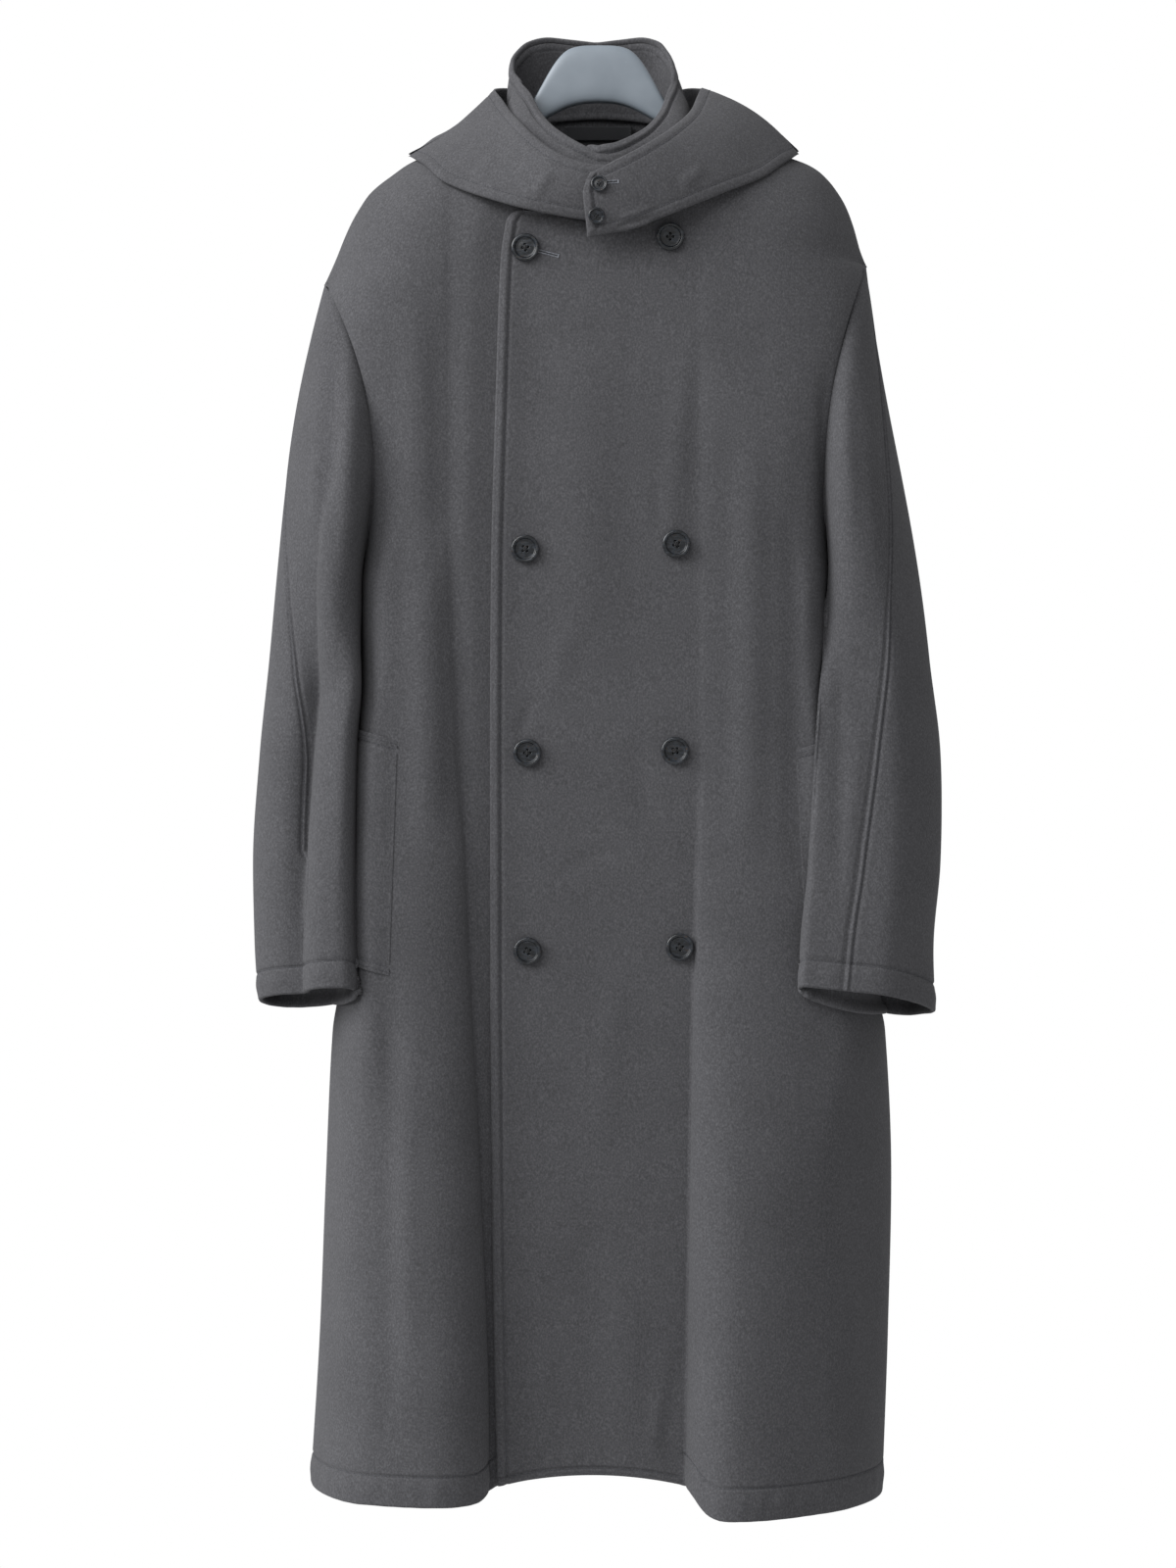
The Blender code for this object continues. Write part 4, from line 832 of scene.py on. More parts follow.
def normals(grid):
    """Unit normals of a grid of points: the run of its columns x the run of its rows."""
    return unit(np.cross(np.gradient(grid, axis=1), np.gradient(grid, axis=0)))


def run_along(grid):
    """Distance of each point from the start of its row, along the row."""
    step = np.linalg.norm(np.diff(grid, axis=1), axis=2)
    return np.concatenate([np.zeros((len(grid), 1)), np.cumsum(step, axis=1)], axis=1)


def spaced(length, near, far, cell_count):
    """Distances along lines of those lengths: near ones from the start, far from the end, even between."""
    length = np.asarray(length)[:, None]
    even = near[-1] + (length - near[-1] - far[-1]) * np.linspace(0, 1, cell_count + 1)[1:-1]
    first = np.broadcast_to(near, (len(length), len(near)))
    return np.concatenate([first, even, length - far[::-1]], axis=1)


def on_line(at, run, values):
    """Values at distances along a line whose points lie at the distances run."""
    return np.stack([np.interp(at, run, axis) for axis in values.T], axis=1)


def cut(at, grid, *others):
    """The rows of grids, cut at those distances along the first grid's rows."""
    run = run_along(grid)
    found = [np.array([on_line(*row) for row in zip(at, run, values)]) for values in (grid, *others)]
    return found if others else found[0]


def line_in(grid, normal, distance, axis, last=False):
    """The points and normals of the line at a distance in from a grid's edge. Axis 1 goes in along rows."""
    if axis == 0:
        grid, normal = grid.swapaxes(0, 1), normal.swapaxes(0, 1)
    if last:
        grid, normal = grid[:, ::-1], normal[:, ::-1]
    at = np.broadcast_to(distance, (len(grid),))[:, None]
    points, ways = cut(at, grid, normal)
    return points[:, 0], ways[:, 0]


def distances(grid):
    """Distances of a grid's points from its first and last column, and from its first and last row."""
    across = run_along(grid)
    up = run_along(grid.swapaxes(0, 1)).T
    return across, across[:, -1:] - across, up, up[-1:] - up


def creases(rows, x, z):
    """Sum of soft ridges and troughs, each a raised cosine across its line, faded at both ends."""
    total = np.zeros_like(x)
    for x0, z0, x1, z1, half, height, bend in np.array(rows) * MM:
        run_x, run_z = x1 - x0, z1 - z0
        length = math.hypot(run_x, run_z)
        t = ((x - x0) * run_x + (z - z0) * run_z) / length**2
        off = ((x - x0) * run_z - (z - z0) * run_x) / length - bend * 4 * t * (1 - t)
        total += height * bump(off / half) * ease(t / CREASE_FADE) * ease((1 - t) / CREASE_FADE)
    return total


def groove(distance, place):
    """A stitched line's trough, and the swelling between it and the edge."""
    swell = PUFF * bump((distance - place / 2) / (place / 2))
    return swell - GROOVE_DEPTH * bump((distance - place) / GROOVE_HALF)


def puckers(along, up, top):
    """Small uneven ripples across a turned-up hem, gone at its rim and at its stitching."""
    sway = PUCKER_SWAY * np.sin(math.tau * along / PUCKER_WANDER)
    wave = np.sin(math.tau * along / PUCKER_STEP + sway)
    return PUCKER * wave * bump((up - top / 2) / (PUCKER_REACH * top))


def seam_dip(distance):
    """How far the cloth sinks towards a seam."""
    return -SEAM_DIP * (1 - ease(distance / SEAM_DIP_WIDTH))


def corner_still(*gaps):
    """0 at a seam's end, where several pieces meet, and 1 away from it."""
    return ease(np.sqrt(sum(gap**2 for gap in gaps)) / CORNER_THIN_WIDTH)


def corner_thin(*gaps):
    """Share of the wall left near a seam's end."""
    return mix(CORNER_THIN, 1, corner_still(*gaps))


def edge_wall(distance):
    """Wall thickness near a folded edge."""
    return mix(EDGE_CLOTH, CLOTH, ease(distance / EDGE_BAND))


def add_to_scene(name, data):
    """An object of that name in the scene, at the origin."""
    obj = bpy.data.objects.new(name, data)
    bpy.context.scene.collection.objects.link(obj)
    return obj


def add_piece(name, verts, faces, material):
    """An object at the origin with that mesh and material, smooth, riding on the coat's one body."""
    mesh = bpy.data.meshes.new(name)
    mesh.from_pydata(verts, [], faces)
    mesh.materials.append(material)
    mesh.shade_smooth()
    obj = add_to_scene(name, mesh)
    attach(obj, "root")
    return obj


def grid_faces(index):
    """Four-cornered faces between the neighbours of an index grid, facing columns x rows."""
    corners = (index[:-1, :-1], index[:-1, 1:], index[1:, 1:], index[1:, :-1])
    return np.stack(corners, axis=-1).reshape(-1, 4)


def ring_faces(rings):
    """Faces of an index grid whose rows are closed rings."""
    return grid_faces(np.concatenate([rings, rings[:, :1]], axis=1))


def shell(name, outside, wall, material):
    """A cloth piece: a grid, the same grid moved inwards by the wall, and a half-round rim between them."""
    rows, columns, _ = outside.shape
    normal = normals(outside)
    wall = np.broadcast_to(wall, (rows, columns))[..., None]
    index = np.arange(rows * columns).reshape(rows, columns)
    loop = np.concatenate([index[0, :-1], index[:-1, -1], index[-1, :0:-1], index[:0:-1, 0]])
    row, column = np.divmod(loop, columns)
    nearest = row.clip(1, rows - 2), column.clip(1, columns - 2)
    rim, rim_normal, half = outside[row, column], normal[row, column], wall[row, column] / 2
    away = rim - outside[nearest]
    away = unit(away - rim_normal * np.sum(away * rim_normal, axis=1, keepdims=True))
    rings = []
    for turn in (math.pi / 4, math.pi / 2, 3 * math.pi / 4):
        rings.append(rim + half * (away * math.sin(turn) - rim_normal * (1 - math.cos(turn))))
    inside = outside - wall * normal
    verts = np.concatenate([outside.reshape(-1, 3), inside.reshape(-1, 3), *rings])
    count = rows * columns
    belts = [loop, *(2 * count + np.arange(len(loop)) + k * len(loop) for k in range(3)), loop + count]
    faces = [grid_faces(index), grid_faces(index + count)[:, ::-1]]
    for outer, inner in zip(belts, belts[1:]):
        faces.append(ring_faces(np.stack([outer, inner]))[:, ::-1])
    return add_piece(name, verts, np.concatenate(faces), material)


def stitching(name, lines, material):
    """Rows of stitches: small four-sided spindles at even steps along lines of points and normals."""
    middles, runs, ways = [], [], []
    for points, way in lines:
        run = run_along(points[None])[0]
        at = np.arange(STITCH_PITCH / 2, run[-1], STITCH_PITCH)
        ahead, behind = (on_line(at + step, run, points) for step in (STITCH_PITCH / 4, -STITCH_PITCH / 4))
        middles.append(on_line(at, run, points))
        runs.append(unit(ahead - behind))
        ways.append(unit(on_line(at, run, way)))
    middle, run, way = (np.concatenate(part) for part in (middles, runs, ways))
    side = unit(np.cross(way, run))
    way = np.cross(run, side)
    middle = middle + way * STITCH_RADIUS * (1 - STITCH_SINK)
    corners = []
    for along, share in STITCH_RINGS:
        for across, up in ((1, 0), (0, 1), (-1, 0), (0, -1)):
            out = STITCH_RADIUS * share * (side * across + way * up)
            corners.append(middle + run * along * STITCH_LENGTH + out)
    verts = np.stack(corners, axis=1)
    ring = np.arange(len(corners)).reshape(-1, 4)
    one = np.concatenate([ring_faces(ring), ring[:1, ::-1], ring[-1:]])
    faces = one[None] + len(corners) * np.arange(len(verts))[:, None, None]
    return add_piece(name, verts.reshape(-1, 3), faces.reshape(-1, 4), material)


def tube(path, normal, radius, sides=8):
    """A round cord along a path, its ends closed by flat caps: vertices and faces."""
    run = unit(np.gradient(path, axis=0))
    side = unit(np.cross(normal, run))
    up = np.cross(run, side)
    turn = np.linspace(0, math.tau, sides, endpoint=False)[None, :, None]
    radius = np.broadcast_to(radius, (len(path),))[:, None, None]
    verts = path[:, None] + radius * (np.cos(turn) * side[:, None] + np.sin(turn) * up[:, None])
    ring = np.arange(len(path) * sides).reshape(-1, sides)
    faces = ring_faces(ring).tolist() + [ring[0, ::-1].tolist(), ring[-1].tolist()]
    return verts.reshape(-1, 3), faces


def joined(parts):
    """One set of vertices and faces from several."""
    verts, faces, start = [], [], 0
    for part_verts, part_faces in parts:
        verts.append(part_verts)
        faces += [[start + corner for corner in face] for face in part_faces]
        start += len(part_verts)
    return np.concatenate(verts), faces


def panel_levels():
    """For each row of a panel: its height share from hem to underarm, and its armhole angle above that."""
    height = UNDERARM_Z - HEM_Z
    even = np.arange(HEM_STEPS[-1] + CELL, height - CELL / 2, CELL)
    below = np.concatenate([HEM_STEPS, even]) / height
    above = np.radians(np.append(180, np.linspace(UNDERARM_STEP, 0, ARMHOLE_ROWS)))
    share = np.concatenate([below, np.ones_like(above)])
    angle = np.concatenate([np.full_like(below, math.pi), above])
    return share[:, None], angle[:, None]


def hem_lift(x, z):
    """Rise of the centre front's hem, and drop of the left one, fading out over the skirt."""
    off = np.abs(x - HEM_LIFT_X)
    rise = HEM_LIFT - HEM_ARCH * (off / HEM_LIFT_HALF) ** 2
    inside = 1 - ease((off - HEM_LIFT_HALF) / HEM_LIFT_FADE)
    drop = HEM_DROP * ease((x - HEM_DROP_X) / HEM_DROP_FADE)
    return (rise * inside - drop) * ((UNDERARM_Z - z) / (UNDERARM_Z - HEM_Z)).clip(0, 1) ** HEM_LIFT_POWER


def panel_edge(side, face):
    """Per row of a panel: the edge's x on its own side, its z, and how far the row bends up to its top."""
    share, angle = panel_levels()
    hole_x, _, hole_z = armhole(side, angle, face)
    low_z = mix(HEM_Z, UNDERARM_Z, share)
    edge_z = np.where(share < 1, low_z, hole_z)
    edge_x = np.where(share < 1, edge(side, low_z, face)[0], side * hole_x)
    span = ARMHOLE[side]["head_z"] - UNDERARM_Z
    return edge_x, edge_z, ((edge_z - UNDERARM_Z).clip(0) / span) ** 2


def span_steps(lines, cell, near, far):
    """How a span of rows is cut: near and far steps, and even ones of about a cell at the widest row."""
    length = run_along(lines)[:, -1]
    count = max(2, round((length.max() - near[-1] - far[-1]) / cell))
    return cut(spaced(length, near, far, count), lines)


def front_grid(side):
    """Grid of one front, hem to shoulder, from its free edge past its fold to the armhole and side seam."""
    hole = ARMHOLE[side]
    edge_x, edge_z, raised = panel_edge(side, FRONT)
    corner_x = float(read(OVERLAP, "x", hole["head_z"])) if side == LEFT else -UNDERLAP_X
    inner_z = edge_z + raised * (FRONT_NECK["z"][0] - hole["head_z"])
    inner_x = read(OVERLAP, "x", inner_z) if side == LEFT else np.full_like(inner_z, -UNDERLAP_X)
    fold_x = mix(fold_foot(side, edge_z), NECK_HALF, raised)
    crest_top = mix(NECK_HALF, hole["head_x"], FLANK_SHARE)
    crest_x = mix(read(FRONT_ROLLS[side], "crest", edge_z), crest_top, raised)
    spans = (
        (inner_x, fold_x, corner_x, NECK_HALF, EDGE_STEPS if side == LEFT else NO_STEPS, NO_STEPS),
        (fold_x, crest_x, NECK_HALF, crest_top, NO_STEPS, NO_STEPS),
        (crest_x, edge_x, crest_top, hole["head_x"], NO_STEPS, SEAM_STEPS),
    )
    t = bump(np.linspace(1, 0, DENSE))[None, :]
    parts = []
    for start, end, top_start, top_end, near, far in spans:
        x, top_x = mix(start, end, t), mix(top_start, top_end, t)
        top = np.where(top_x < NECK_HALF, read(FRONT_NECK, "z", top_x), shoulder(side * np.abs(top_x)))
        z = edge_z + raised * (top - hole["head_z"])
        z = z + hem_lift(side * x, z)
        y = body_y(side * x, z, FRONT)
        if side == RIGHT:
            under = ease(1 - (read(OVERLAP, "x", z) + x) / UNDERLAP_EASE)
            y = y + UNDERLAP_DROP * under * ease(1 + (UNDERLAP_TOP - z) / UNDERLAP_FADE)
        lines = np.stack([side * x, y - SEAM / 2, z], axis=-1)
        if side == LEFT and not parts:
            run = run_along(lines)
            trim = CORNER * (1 - arc((inner_z[-1] - inner_z) / CORNER))
            lines = cut(trim + run * (1 - trim / run[:, -1:]), lines)
        parts.append(span_steps(lines, CELL, near, far)[:, bool(parts):])
    return np.concatenate(parts, axis=1)


def back_grid():
    """Grid of the back, hem to neck, from the left side seam and armhole to the right ones."""
    t = np.linspace(0, 1, DENSE)[None, :]
    middle_z = np.mean([panel_edge(way, BACK)[1] for way in (LEFT, RIGHT)], axis=0)
    middle_head = np.mean([ARMHOLE[way]["head_z"] for way in (LEFT, RIGHT)])
    halves = {}
    for side in (LEFT, RIGHT):
        hole = ARMHOLE[side]
        edge_x, edge_z, raised = panel_edge(side, BACK)
        parts = []
        spans = ((edge_x, NECK_HALF, hole["head_x"], SEAM_STEPS), (NECK_HALF, 0, NECK_HALF, NO_STEPS))
        for start, end, head, near in spans:
            x, top_x = mix(start, end, t), mix(head, end, t)
            rise = BACK_NECK_RISE * (1 - (top_x / NECK_HALF) ** 2)
            top = np.where(top_x < NECK_HALF, NECK_Z + rise, shoulder(side * top_x))
            inward = 1 - x / edge_x
            level, head_z = mix(edge_z, middle_z, inward), mix(hole["head_z"], middle_head, inward)
            x, z = np.broadcast_arrays(x, level + raised * (top - head_z))
            lines = np.stack([side * x, body_y(side * x, z, BACK) + SEAM / 2, z], axis=-1)
            parts.append(span_steps(lines, BACK_CELL, near, NO_STEPS)[:, bool(parts):])
        halves[side] = np.concatenate(parts, axis=1)
    return np.concatenate([halves[LEFT], halves[RIGHT][:, -2::-1]], axis=1)


def sleeve_ring(side, angle, z, hollow_z):
    """A leaning oval round a sleeve at height z, flattened in front, with the hollow of height hollow_z.
    Angle 0 is outermost, then comes the front."""
    names = ("centre_x", "half_x", "centre_y", "half_y", "lean")
    row = {name: read(SLEEVE[side], name, z) for name in names}
    place, deep = (read(SLEEVE_HOLLOW[side], name, hollow_z) for name in ("place", "depth"))
    degrees = np.degrees(angle)
    off = (degrees - place + 180) % 360 - 180
    soft = 1 - bump(off / HOLLOW_OUTER[side])
    ahead_of = off / HOLLOW_FRONT[side]
    rolled = mix(1 - bump(ahead_of), arc(ahead_of), HOLLOW_ROLL[side])
    size = 1 - deep * (1 - np.where(off < 0, soft, rolled))
    x = row["centre_x"] + row["half_x"] * np.cos(angle) * size
    ahead = (row["half_y"] * np.sin(angle) - row["lean"] * np.cos(angle)) * size
    ahead = ahead + SWELL[side] * bump(((degrees - SWELL_AT + 180) % 360 - 180) / SWELL_HALF)
    ahead = ahead - FLAT_SOFT * np.logaddexp(0, (ahead - FLAT_FRONT[side]) / FLAT_SOFT)
    return np.stack([side * x, row["centre_y"] - ahead, z], axis=-1)


def sleeve_form(side, angle, step):
    """Points of a sleeve: step 0 to 1 from the armhole to the full section, 1 to 2 on to the cuff."""
    full_z = SLEEVE_FULL_Z - SLEEVE_UNDER_DROP * (1 - np.cos(angle)) / 2
    cuff = CUFF[side]
    low = sleeve_ring(side, angle, np.full_like(angle, cuff["z"]), cuff["z"])
    cuff_z = cuff["z"] - cuff["slope_y"] * (low[..., 1] - cuff["middle_y"])
    cuff_z = cuff_z - cuff["slope_x"] * (side * low[..., 0] - cuff["middle_x"])
    arm_z = mix(full_z, cuff_z, (step - 1).clip(0))
    arm = sleeve_ring(side, angle, arm_z, arm_z)
    sine = np.sin(angle)
    holes = [np.stack(armhole(side, np.arccos(np.cos(angle)), face), axis=-1) for face in (FRONT, BACK)]
    start = np.where(sine[..., None] >= 0, *holes)
    at_head = np.cos(angle).clip(0) ** HEAD_POWER
    start[..., 0] -= side * mix(SLEEVE_TUCK, HEAD_IN, at_head)
    start[..., 2] += HEAD_UP * at_head
    cap_z = mix(start[..., 2], full_z, step.clip(0, 1))
    full = sleeve_ring(side, angle, full_z, cap_z)
    reach = CAP_REACH * np.linalg.norm(full - start, axis=-1, keepdims=True)
    outwards = np.where(sine > 0, CAP_LEAVE["front"], CAP_LEAVE["back"])
    leave_x = side * (CAP_LEAVE["head"][side] + CAP_LEAVE["side"] * sine**2)
    leave = np.stack([leave_x, -outwards * sine, CAP_LEAVE["up"] * sine**2 - 1], axis=-1)
    arrive = (sleeve_ring(side, angle, full_z + SLOPE_STEP, cap_z) - full) / SLOPE_STEP
    cap = bezier(start, start + reach * leave, full + reach * arrive, full, step.clip(0, 1)[..., None])
    return np.where(step[..., None] > 1, arm, cap)


def sleeve_grid(side, face):
    """Grid of half a sleeve, cuff to armhole, its columns from the outer seam to the inner one in front,
    and on round the back. The outer seam turns forwards on its way down."""
    length = SLEEVE_FULL_Z - CUFF[side]["z"]
    cap = np.linspace(0, 1, CAP_ROWS)
    arm = np.linspace(1, 2 - CUFF_STEPS[-1] / length, ARM_ROWS)[1:-1]
    step = np.concatenate([cap, arm, 2 - CUFF_STEPS[::-1] / length])[::-1, None]
    degrees = np.linspace(0, 180, DENSE)[None, :] + (180 if face == BACK else 0)
    head_z, cuff_z = ARMHOLE[side]["head_z"], CUFF[side]["z"]
    seam_z = np.where(step < 1, mix(head_z, SLEEVE_FULL_Z, step), mix(SLEEVE_FULL_Z, cuff_z, step - 1))
    outer_turn = read(SLEEVE[side], "turn", seam_z)
    angle = np.radians(degrees + mix(INNER_SEAM_TURN * ease(step), outer_turn, np.abs(1 - degrees / 180)))
    points = sleeve_form(side, angle, np.broadcast_to(step, angle.shape))
    clear = ease(step / CLEAR_STEP)
    lap = SLEEVE_LAP * clear * bump((points[..., 2] - LAP_Z) / LAP_HALF_Z)
    points[..., 0] -= side * lap * bump((np.degrees(angle) - LAP_TURN) / LAP_HALF_TURN)
    x, y, z = np.moveaxis(points, -1, 0)
    half, _ = edge(x, z, FRONT)
    give = SLEEVE_GIVE * clear + LEAST_GIVE
    limit = body_y(x, z, FRONT) - SLEEVE_CLEAR * clear
    pushed = y - give * np.logaddexp(0, (y - limit) / give)
    points[..., 1] = np.where((np.abs(x) < half) & (step > 0), pushed, y)
    beside = ease(2 - 2 * np.abs(points[..., 1] - SIDE_Y) / SLEEVE_BESIDE_HALF) * (z < UNDERARM_Z)
    points[..., 0] += side * beside * np.maximum(half + SLEEVE_BESIDE - np.abs(x), 0)
    points = span_steps(points, SLEEVE_CELL, SEAM_STEPS, SEAM_STEPS)
    return points[:, ::-1] if side == LEFT else points


def neck_point(angle):
    """The collar's foot: just above the neck edge, a little inside the body's surface."""
    x = (NECK_HALF - COLLAR_INSET) * np.sin(angle)
    ahead = np.cos(angle) >= 0
    rise = BACK_NECK_RISE * (1 - (x / NECK_HALF) ** 2)
    z = np.where(ahead, read(FRONT_NECK, "z", np.abs(x)), NECK_Z + rise)
    front, back = body_y(x, z, FRONT) + COLLAR_INSET, body_y(x, z, BACK) - COLLAR_INSET
    raised = mix(COLLAR_RAISE[FRONT], COLLAR_RAISE[BACK], ease(0.5 - np.cos(angle)))
    return np.stack([x, np.where(ahead, front, back), z + raised], axis=-1)


def collar_grid():
    """Grid of the stand collar, foot to rim, all round and past itself at the centre front."""
    degrees = np.linspace(COLLAR_START, COLLAR_END, COLLAR_COLUMNS + 1)
    angle = np.radians(degrees)
    off = (degrees + 180) % 360 - 180
    rim = {name: read(COLLAR_RIM, name, np.abs(off)) for name in ("x", "lean", "y", "z")}
    top = np.stack([np.sign(off) * rim["x"] + rim["lean"], rim["y"], rim["z"]], axis=-1)
    outward = np.stack([np.sin(angle), -np.cos(angle), np.zeros_like(angle)], axis=-1)
    start_share = 1 - ease((degrees - COLLAR_START) / COLLAR_PASS_EASE)
    end_share = 1 - ease((COLLAR_END - degrees) / COLLAR_PASS_EASE)
    top[:, 2] += read(COLLAR_CROSS, "inner", -360 - degrees) + read(COLLAR_CROSS, "outer", degrees)
    passing = (COLLAR_PASS * (end_share - start_share))[:, None] * outward
    t = np.linspace(0, 1, COLLAR_ROWS + 1)[:, None, None]
    return mix(neck_point(angle), top, t) + passing + COLLAR_BULGE * np.sin(math.pi * t) * outward


def softened(values):
    """A grid of values, each drawn towards the mean of its neighbours a number of times."""
    for axis in (0, 1):
        for _ in range(SOFT_PASSES):
            around = np.pad(values, [(int(axis == i),) * 2 for i in range(values.ndim)], "edge")
            before, after = (np.take(around, np.arange(values.shape[axis]) + k, axis) for k in (0, 2))
            values = (before + 2 * values + after) / 4
    return values


def hood_grid(side, steps, across):
    """Grid of the hood on one side, lower edge to face edge, sagging to a pouch at the back."""
    row = {name: read(HOOD[side], name, steps) for name in HOOD_NAMES.split()[1:]}
    hem = np.stack([row["hem_x"], row["hem_y"], row["hem_z"]], axis=-1)
    face = np.stack([row["face_x"], row["face_y"], row["face_z"]], axis=-1)
    along = np.gradient(mix(hem, face, 0.5), steps, axis=0)
    bulge = row["bulge"][:, None] * unit(np.cross(along, face - hem))
    hang = ease(row["sag"] / HOOD_FULL_SAG)[:, None]
    down = 4 / 3 * row["sag"]  # a curve hangs three quarters as deep as its two middle points
    zero = np.zeros_like(down)
    deep_in = hem + np.stack([zero, zero + HOOD_REACH_IN, -down], axis=-1)
    deep_out = face + np.stack([zero, zero + HOOD_REACH_OUT, -down], axis=-1)
    a = mix(mix(hem, face, 1 / 3) + bulge, deep_in, hang)
    b = mix(mix(hem, face, 2 / 3) + bulge, deep_out, hang)
    t = across[:, None, None]
    points = bezier(hem, a, b, face, t)
    points[..., 0] *= side
    inwards = ease(t[..., 0] / HOOD_CLEAR_SHARE)
    ahead, behind = (mix(HOOD_CLEAR_EDGE[way], HOOD_CLEAR[way], inwards) for way in (FRONT, BACK))
    x, y, z = np.moveaxis(points, -1, 0)
    clear = np.where(y < 0, ahead, behind)
    over = np.abs(y) < SHOULDER_TOP
    up = np.where(over, np.maximum(shoulder_top(x, y) + clear - z, 0), 0)
    before = np.minimum(body_y(x, z, FRONT) - clear - y, 0)
    after = np.maximum(body_y(x, z, BACK) + clear - y, 0)
    out = np.where(over, 0, np.where(y < 0, before, after))
    points[..., 1:] += softened(np.stack([out, up], axis=-1))
    return points if side == LEFT else points[:, ::-1]


def front_frame(x, z):
    """Points of the fronts' outside at arrays of x and z, and their unit normals."""
    y = body_y(x, z, FRONT)
    slope_x = (body_y(x + SLOPE_STEP, z, FRONT) - y) / SLOPE_STEP
    slope_z = (body_y(x, z + SLOPE_STEP, FRONT) - y) / SLOPE_STEP
    return np.stack([x, y, z], axis=-1), unit(np.stack([slope_x, -np.ones_like(y), slope_z], axis=-1))


wool, thread, twist = milled_wool(), sewing_thread(), buttonhole_twist()
horn, ribbon, plastic = horn_resin(), woven_label(), moulded_plastic()
# black cord for the buttons' thread, and for the painted shade in the buttonholes' openings
black_thread_and_painted_shade = button_cord_and_painted_shade()


def add_cloth(node, grid, wall, lines=(), material=wool):
    """The cloth piece that stands for a node, with its stitching."""
    piece = shell(f"{node}_cloth", grid, wall, material)
    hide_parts(node)
    if lines:
        stitching(f"{node}_stitching", lines, thread)


def only(line, keep):
    """The part of a line of points and normals where keep is true."""
    points, way = line
    return points[keep], way[keep]


def add_front(name, side):
    """A front: creases, a stitched hem, and on the outer one a thick stitched free edge."""
    grid = front_grid(side)
    if side == RIGHT:
        grid = grid[:, ::-1]
    first, last, up, down = distances(grid)
    free, seam = (first, last) if side == LEFT else (last, first)
    x, z = grid[..., 0], grid[..., 2]
    centre = ease((HEM_FOOT - x) / HEM_FOOT_FADE) if side == LEFT else np.zeros_like(x)
    lift = creases(FRONT_CREASES, x, z) * ease(seam / SEAM_FADE) + seam_dip(seam)
    lift += mix(groove(up, STITCH_HEM[side]), groove(up, STITCH_CENTRE_HEM), centre)
    lift += puckers(free, up, STITCH_HEM[side]) * (1 - CENTRE_CALM * centre)
    folded = up
    on_top_edge = x[-1] < TOP_EDGE_X
    if side == LEFT:
        edge_in = np.minimum(free, np.where(on_top_edge, down, 1))
        lift += groove(edge_in, STITCH_IN) + EDGE_STAND * (1 - ease(free / EDGE_STAND_WIDTH))
        folded = np.minimum(up, edge_in)
    lift += np.where(on_top_edge, 0, seam_dip(down))
    lift *= corner_still(seam, down)
    grid = grid + lift[..., None] * normals(grid)
    way = normals(grid)
    hem_in = mix(STITCH_HEM[side], STITCH_CENTRE_HEM, centre[0] > 0.5)
    hem_line = line_in(grid, way, hem_in, 0)
    lines = [hem_line]
    if side == LEFT:
        inner = hem_line[0][:, 0] > read(OVERLAP, "x", HEM_Z) + STITCH_IN
        turn = int(np.argmax(centre[0] < 0.5))
        columns = np.arange(len(inner))
        lines = [only(hem_line, inner & (columns < turn)), only(hem_line, columns >= turn)]
        edge_line = line_in(grid, way, STITCH_IN, 1)
        lines.append(only(edge_line, (up[:, 0] > STITCH_CENTRE_HEM) & (down[:, 0] > STITCH_IN)))
        top_line = line_in(grid, way, STITCH_IN, 0, last=True)
        lines.append(only(top_line, on_top_edge & (free[-1] > STITCH_IN)))
    add_cloth(f"front_{name}", grid, edge_wall(folded) * corner_thin(seam, down), lines)


def add_back():
    """The back: creases between its folds, side seams and a turned-up hem."""
    grid = back_grid()
    first, last, up, down = distances(grid)
    seam = np.minimum(first, last)
    lift = creases(BACK_CREASES, grid[..., 0], grid[..., 2]) * ease(seam / SEAM_FADE)
    lift += seam_dip(seam) + seam_dip(down)
    lift += groove(up, STITCH_HEM[RIGHT]) + puckers(first, up, STITCH_HEM[RIGHT])
    lift *= corner_still(seam, down)
    grid = grid + lift[..., None] * normals(grid)
    hem_line = line_in(grid, normals(grid), STITCH_HEM[RIGHT], 0)
    add_cloth("back", grid, edge_wall(up) * corner_thin(seam, down), [hem_line])


def add_sleeve(name, side, face_name, face):
    """Half a sleeve: its own creases, seams, a stitched cuff, and topstitching beside the outer seam."""
    grid = sleeve_grid(side, face)
    first, last, up, down = distances(grid)
    seam = np.minimum(first, last)
    outer_first = (face == FRONT) != (side == LEFT)
    outer = first if outer_first else last
    way = normals(grid)
    facing = ease(face * way[..., 1] / CREASE_FACING) * ease(np.minimum(seam, down) / SEAM_FADE)
    lift = facing * creases(SLEEVE_CREASES[side, face], grid[..., 0], grid[..., 2])
    lift += seam_dip(first) + seam_dip(last) + seam_dip(down)
    lift += groove(up, STITCH_CUFF) + CUFF_PUCKER * puckers(first, up, STITCH_CUFF)
    if face == BACK:
        lift += groove(outer, STITCH_SEAM)
    lift *= corner_still(seam, down)
    grid = grid + lift[..., None] * way
    way = normals(grid)
    lines = [line_in(grid, way, STITCH_CUFF, 0)]
    if face == BACK:
        seam_line = line_in(grid, way, STITCH_SEAM, 1, last=not outer_first)
        lines.append(only(seam_line, up[:, 0] > STITCH_CUFF))
    add_cloth(f"sleeve_{name}_{face_name}", grid, edge_wall(up) * corner_thin(seam, down), lines)


